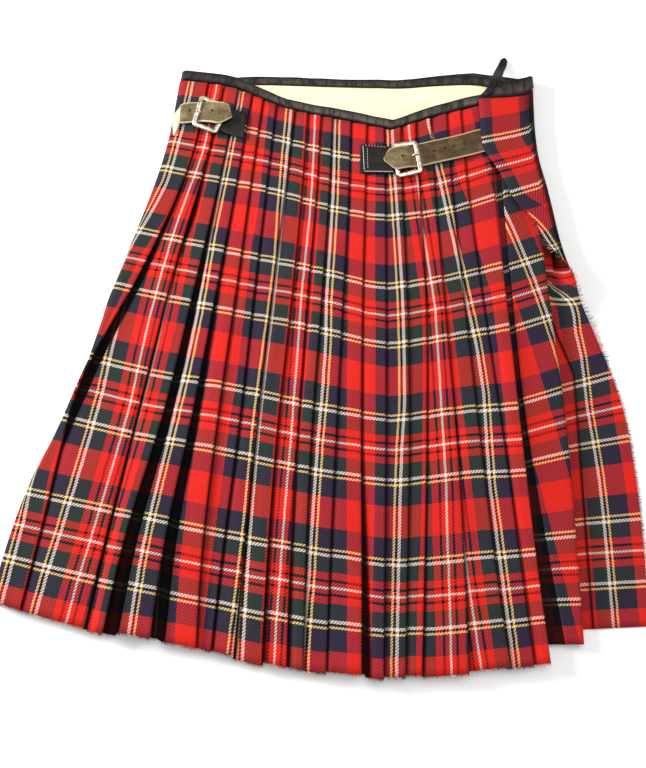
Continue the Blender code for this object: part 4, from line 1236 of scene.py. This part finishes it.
def strap_mesh(name, stations, thick, material):
    """A strap along stations (x, y, z, width, the direction across it in degrees), rounded at its edges."""
    line = curve_through(np.array(stations, float))
    run = np.gradient(line[:, :3], axis=0)
    rings, edges, flat = [], [], []
    along = 0.0
    for i, (x, y, z, width, turn) in enumerate(line):
        across = np.array([math.cos(math.radians(turn)), math.sin(math.radians(turn)), 0.0])
        up = np.cross(run[i] / np.linalg.norm(run[i]), across)
        up *= 1 if up[2] >= -0.05 else -1
        up /= np.linalg.norm(up)
        along += np.linalg.norm(line[i, :3] - line[i - 1, :3]) if i else 0.0
        place = np.array([x, y, z])
        rings.append([place + a * width / 2 * across + b * thick / 2 * up for a, b in STRAP_ROUND])
        near_tip = max(0.0, 1 - along / RAW_TIP) if stations[0][3] < POINTED else 0.0
        edges.append([max(abs(a), near_tip) if b > -0.5 else 0.5 for a, b in STRAP_ROUND])
        flat.append([(along, a * width / 2) for a, b in STRAP_ROUND])
    return skin(name, rings, material, uv=flat, edge=edges)


strap_right = strap_mesh("strap_right_leather", [
    (68.2, 217.0, 17.8, 3, 104), (71.5, 217.2, 18.0, 11, 104), (76.6, 217.4, 18.7, 24.5, 104),
    (80, 217.4, 19.4, 27.4, 105), (85, 218.6, 19.6, 27.6, 105), (92, 220.4, 18.8, 27.6, 105),
    (101, 222.6, 15.7, 27.8, 105), (108, 224.4, 14.6, 28, 105), (118, 227.0, 14.3, 28, 105),
    (132, 230.4, 14.3, 28, 104), (150, 234.8, 14.3, 28, 104), (166, 239.0, 14.4, 28.4, 103),
    (180, 243.2, 14.6, 28.6, 104), (203, 248, 14.9, 28.6, 105)],
    STRAP_THICK, olive)
strap_left = strap_mesh("strap_left_leather", [
    (-103.7, 278.1, 18.2, 15.6, 104), (-104.6, 277.9, 18.4, 17.4, 103),
    (-109.5, 276.3, 18.9, 22.4, 93), (-114.6, 274.9, 19.3, 27.2, 80), (-120, 275.8, 19.3, 27.0, 76),
    (-130, 277.5, 17.6, 26.4, 76), (-138, 278.4, 15.2, 26.0, 78), (-146, 278.4, 14.4, 26.0, 82),
    (-154, 277.8, 14.3, 26.2, 86), (-159, 277.2, 14.0, 25.0, 88), (-161.6, 276.8, 13.0, 23.0, 90),
    (-162.6, 276.6, 11.4, 21.0, 90)],
    STRAP_THICK, khaki)
strap_curl = strap_mesh("strap_left_curl", [
    (-161.6, 284.5, 14.0, 1.4, 10), (-163.8, 278, 14.8, 5.4, 4), (-165.0, 268, 14.6, 8.0, 0),
    (-166.4, 260, 13.2, 6.0, -6), (-167.8, 251, 11.0, 1.2, -12)],
    CURL_THICK, flesh)
tab_right = strap_mesh("tab_right_leather", [
    (42.0, 220.6, 13.5, 34, 88), (43.2, 220.6, 13.7, 35.6, 88), (52, 220.2, 13.8, 35.0, 88),
    (64, 219.4, 14.0, 34, 87), (76, 218.6, 14.2, 33, 86), (81, 218.4, 14.8, 31, 86)],
    TAB_THICK, black)
tab_left = strap_mesh("tab_left_leather", [
    (-87.6, 262, 13.4, 31.5, 86), (-88.8, 262, 13.6, 32.6, 86), (-96, 264.6, 13.8, 32.6, 82),
    (-106, 267.6, 14.0, 32, 76), (-114, 270.5, 14.3, 31, 71), (-119, 272, 14.8, 29, 70)],
    TAB_THICK, black)
print("straps:", [len(strap.data.polygons) for strap in (strap_right, strap_left, strap_curl)], "faces")

# %% Buckles and tongues
CAST_HALF = 1.35        # half the height of a buckle's metal
BEND_REACH = 2.4        # how far a buckle's bend runs along each of its bars
INSET = 0.55            # from its outer edge to the middle of its bars, as a share of their width
SQUARED = 0.8           # below 1 the section of a bar is squarer than a circle


def buckle_mesh(name, corners, heights, width):
    """A cast frame through four outer corners, clockwise from the top left, each with its height."""
    corners = np.array([(*corner, z) for corner, z in zip(corners, heights)], float)
    bends = []
    for i in range(4):
        before, here, after = corners[i - 1], corners[i], corners[(i + 1) % 4]
        to_before = (before - here) / np.linalg.norm(before - here)
        to_after = (after - here) / np.linalg.norm(after - here)
        pivot = here + (to_before + to_after) * width * INSET
        bends.append((pivot + to_before * BEND_REACH, pivot, pivot + to_after * BEND_REACH))
    path = []
    for i, (start, pivot, end) in enumerate(bends):
        next_start = bends[(i + 1) % 4][0]
        for t in np.linspace(0, 1, 6):
            path.append((1 - t) ** 2 * start + 2 * t * (1 - t) * pivot + t * t * end)
        path += [end + share * (next_start - end) for share in (0.25, 0.5, 0.75)]
    rings = []
    for i, place in enumerate(path):
        run = path[(i + 1) % len(path)] - path[i - 1]
        out = np.cross(run / np.linalg.norm(run), (0, 0, 1))
        ring = []
        for j in range(12):
            turn = 2 * math.pi * (j + 0.5) / 12
            c, s = math.cos(turn), math.sin(turn)
            side = width / 2 * abs(c) ** SQUARED * np.sign(c)
            up = CAST_HALF * abs(s) ** SQUARED * np.sign(s)
            ring.append(place + out * side + np.array([0, 0, up]))
        rings.append(ring)
    return skin(name, rings, nickel, closed=True)


buckle_right = buckle_mesh(
    "buckle_right_metal", [(77, 238), (106, 241), (112, 201), (82, 195)], (16.4, 18.4, 18.4, 16.4), width=5.2)
buckle_left = buckle_mesh(
    "buckle_left_metal", [(-139, 299), (-104, 285), (-119, 249), (-148, 260)], (18.4, 16.4, 16.4, 18.4),
    width=5.4)


def prong_mesh(name, places):
    """A tongue along places (x, y, z, radius)."""
    rings = []
    line = curve_through(np.array(places, float))
    for i, (x, y, z, radius) in enumerate(line):
        run = Vector(line[min(i + 1, len(line) - 1), :3] - line[max(i - 1, 0), :3]).normalized()
        side = run.cross(Vector((0, 0, 1))).normalized()
        up = np.array(side.cross(run))
        side = np.array(side)
        turns = np.linspace(0, 2 * math.pi, 9)[:-1]
        rings.append([np.array((x, y, z)) + radius * (math.cos(t) * side + math.sin(t) * up) for t in turns])
    return skin(name, rings, nickel)


prong_right = prong_mesh("prong_right_metal", [
    (99.5, 222.1, 17.0, 0.9), (102, 222.5, 19.0, 1.0), (104.5, 222.8, 20.7, 1.0),
    (107.2, 223.1, 21.0, 0.9), (108.6, 223.2, 20.5, 0.5)])
prong_left = prong_mesh("prong_left_metal", [
    (-135.5, 276.0, 16.8, 0.9), (-137.6, 276.6, 18.6, 0.9), (-139.6, 277.1, 19.9, 0.9),
    (-141.6, 277.6, 20.3, 0.8), (-142.8, 277.9, 20.0, 0.5)])
print("buckles:", [len(buckle.data.polygons) for buckle in (buckle_right, buckle_left)], "faces")

# %% The hanger loop
ribbon = plain_material("black satin ribbon", "#0D0A09", 0.5, Specular_IOR_Level=0.25)
hanger = strap_mesh("hanger_ribbon", [
    (188.5, 297, 20.0, 10.5, 25), (190.5, 303, 20.6, 10.2, 20), (193.5, 311, 20.2, 9.8, 8),
    (197.0, 320, 17.8, 9.0, 0), (200.5, 330, 11.8, 8.0, -6), (204.5, 340, 5.6, 7.0, -12),
    (208.5, 349, 2.4, 6.4, -16), (210.8, 354.5, 1.8, 6.2, -14), (212, 357.2, 1.7, 4.0, -10)],
    RIBBON_THICK, ribbon)
hanger_far = strap_mesh("hanger_ribbon_far", [
    (200.6, 308, 19.4, 5.0, 0), (201.8, 316, 18.6, 5.0, -4), (204.5, 327, 13.4, 4.6, -8),
    (208.5, 338, 7.2, 4.2, -14), (212.6, 348, 3.4, 4.0, -18), (213.6, 354, 2.6, 4.0, -16),
    (212.6, 357.4, 2.4, 3.0, -10)],
    RIBBON_THICK, ribbon)
print("hanger loop:", len(hanger.data.polygons) + len(hanger_far.data.polygons), "faces")

# %% [markdown]
# ## Stitches, holes and frayed threads
# Everything here is small and repeated, so it is placed by the Geometry Nodes group. The tabs are sewn on
# with linen thread, white on the right and greyed on the left. Each strap has its row of holes. The hem
# and the over-apron's free edge are raw tartan, and their outermost yarns have begun to fray.

# %% Thread and yarn
def yarn_material():
    """Yarn dyed by the attribute dye, which is a place along the sett."""
    made, tree, shader = start_material("frayed tartan yarn", 0.85, Sheen_Weight=0.2)
    dye = add_node(tree, "ShaderNodeAttribute", attribute_name="dye").outputs["Fac"]
    tree.links.new(stripe_colour(tree, dye), shader.inputs["Base Color"])
    return made


linen = plain_material("white linen thread", "#EDE9E2", 0.6)
grey_linen = plain_material("greyed linen thread", "#4A464C", 0.7)
# Painted shade: a dark disc stands in each punched hole for its shaded inside.
shadow = plain_material("painted shade of a punched hole", "#0E0906", 0.9)
yarn = yarn_material()
print("linen and yarn are dyed")

# %% Seams and holes
def seam(points, pitch, long, thick=0.7):
    """Stitches along a line of (x, y, z), as places for copies."""
    points = np.array(points, float)
    lengths = np.concatenate([[0], np.cumsum(np.linalg.norm(np.diff(points, axis=0), axis=1))])
    places = []
    for s in np.arange(pitch / 2, lengths[-1], pitch):
        here = np.array([np.interp(s, lengths, points[:, k]) for k in range(3)])
        ahead = np.array([np.interp(s + 0.5, lengths, points[:, k]) for k in range(3)])
        back_a_bit = np.array([np.interp(s - 0.5, lengths, points[:, k]) for k in range(3)])
        places.append((here, ahead - back_a_bit, (thick, thick, long), 0.0))
    return places


right_seams = seam([(45.2, 236, 14.95), (46.2, 205.4, 14.95)], 2.7, 2.0)
right_seams += seam([(49.8, 233, 15.1), (50.4, 208, 15.1)], 3.1, 1.6, 0.5)
right_seams += seam([(46.2, 204.6, 14.8), (79, 203.9, 15.3)], 2.7, 2.0)
right_seams += seam([(47, 236.6, 14.9), (72, 234.2, 15.0)], 3.4, 1.5, 0.5)
stitches_right = copies("stitches_right", right_seams, STITCH, linen, spread=0.12, seed=3)
left_seams = seam([(-90.6, 276, 14.7), (-90.8, 247.4, 14.7)], 3.2, 1.7, 0.6)
left_seams += seam([(-112, 254.4, 15.0), (-92, 247.4, 14.8)], 3.4, 1.6, 0.5)
stitches_left = copies("stitches_left", left_seams, STITCH, grey_linen, spread=0.12, seed=4)

hole_places = [
    (88.4, 220.5, 20.7), (124.6, 229.4, 15.4), (137.0, 232.6, 15.4), (147.4, 235.2, 15.4),
    (158.5, 238.2, 15.4), (-150.4, 280.2, 15.6), (-124.6, 277.6, 20.2)]
hole_size = (2.5, 2.5, 0.5)
# Each hole is a dark disc of painted shade on the strap.
holes = copies("strap_holes", [(p, (0, 0, 1), hole_size, 0.0) for p in hole_places], HOLE, shadow)
print(len(right_seams) + len(left_seams), "stitches and", len(hole_places), "holes")

# %% Frayed edges
def apron_edge(down):
    """A point on the over-apron's free edge, and the direction that the cloth runs out in."""
    line = np.array(over_section(down), float)
    ys = [over_y(line[i, 3], line[i, 0], down) for i in (-2, -1)]
    last = np.array([line[-1, 0], ys[1], line[-1, 1]])
    before = np.array([line[-2, 0], ys[0], line[-2, 1]])
    run = last - before
    return last, run / np.linalg.norm(run)


FRINGE_YARN = 0.55      # how wide the frayed yarns are
HEM_YARN = 0.5
FRAY_TOP, FRAY_END = 150, 594       # the frayed length of the over-apron's free edge
FRAY_STEP = 1.15                    # from one frayed yarn to the next
LONG_UNTIL = 330                    # the yarns are longer down to here
HEM_STEP = 1.1                      # from one yarn to the next along the hem
rng = np.random.default_rng(7)
fringe_places = []
for down in np.arange(FRAY_TOP, FRAY_END, FRAY_STEP):
    place, out = apron_edge(down)
    long = rng.uniform(2.5, 7.0) if down < LONG_UNTIL else rng.uniform(1.2, 3.6)
    lift = 0.35 if place[2] > 4 else 0.12
    aim = out + np.array([0, rng.uniform(-0.5, 0.5), rng.uniform(-0.1, lift)])
    root = place + np.array([0, 0, rng.uniform(-0.2, 0.3)])
    fringe_places.append((root, aim, (FRINGE_YARN, FRINGE_YARN, long), down - RED_CENTRE))
fringe = copies("frayed_edge", fringe_places, THREAD, yarn, spread=0.25, seed=11)

hem_places = []
hem_line = np.array(back_grid[-1], float)
hem_cloth = np.array(back_cloth[-1], float)
for i in range(len(hem_line) - 1):
    step = hem_line[i + 1] - hem_line[i]
    for share in np.arange(rng.uniform(0, 0.5), 1, HEM_STEP / max(np.linalg.norm(step), 0.4)):
        place = hem_line[i] + share * step
        aim = np.array([rng.uniform(-0.5, 0.5), -1, rng.uniform(-0.3, 0.2) if place[2] > 3 else 0.1])
        hem_places.append((place, aim, (HEM_YARN, HEM_YARN, rng.uniform(0.8, 3.0)), hem_cloth[i, 0]))
hem_fray = copies("frayed_hem", hem_places, THREAD, yarn, spread=0.3, seed=12)
print(len(fringe_places) + len(hem_places), "frayed yarns")

# %% Which pieces stand for which
for pattern in (STITCH, THREAD, HOLE):
    bpy.data.objects.remove(pattern)
for piece, node, finish in (
    (back, "pleated_back", "tartan_worsted"), (under, "under_apron", "tartan_worsted"),
    (over, "over_apron", "tartan_worsted"), (lining, "lining", "lining_cotton"),
    (band_back, "band_back", "black_binding"), (band_front, "band_front", "black_binding"),
    (band_under, "band_under", "black_binding"), (hanger, "hanger_loop", "black_binding"),
    (hanger_far, None, "black_binding"), (strap_right, "strap_right", "strap_leather"),
    (strap_left, "strap_left", "strap_leather"), (strap_curl, None, "strap_leather"),
    (tab_right, "tab_right", "tab_leather"), (tab_left, "tab_left", "tab_leather"),
    (buckle_right, "buckle_right", "nickel"), (buckle_left, "buckle_left", "nickel"),
    (prong_right, "prong_right", "nickel"), (prong_left, "prong_left", "nickel"),
    (fringe, "fringe", "tartan_worsted"), (hem_fray, None, "tartan_worsted"),
    (stitches_right, None, "tab_leather"), (stitches_left, None, "tab_leather"),
    (holes, None, "strap_leather"),
):
    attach(piece, "root")
    if node:
        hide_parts(node)

print("every plain piece has its finished one")
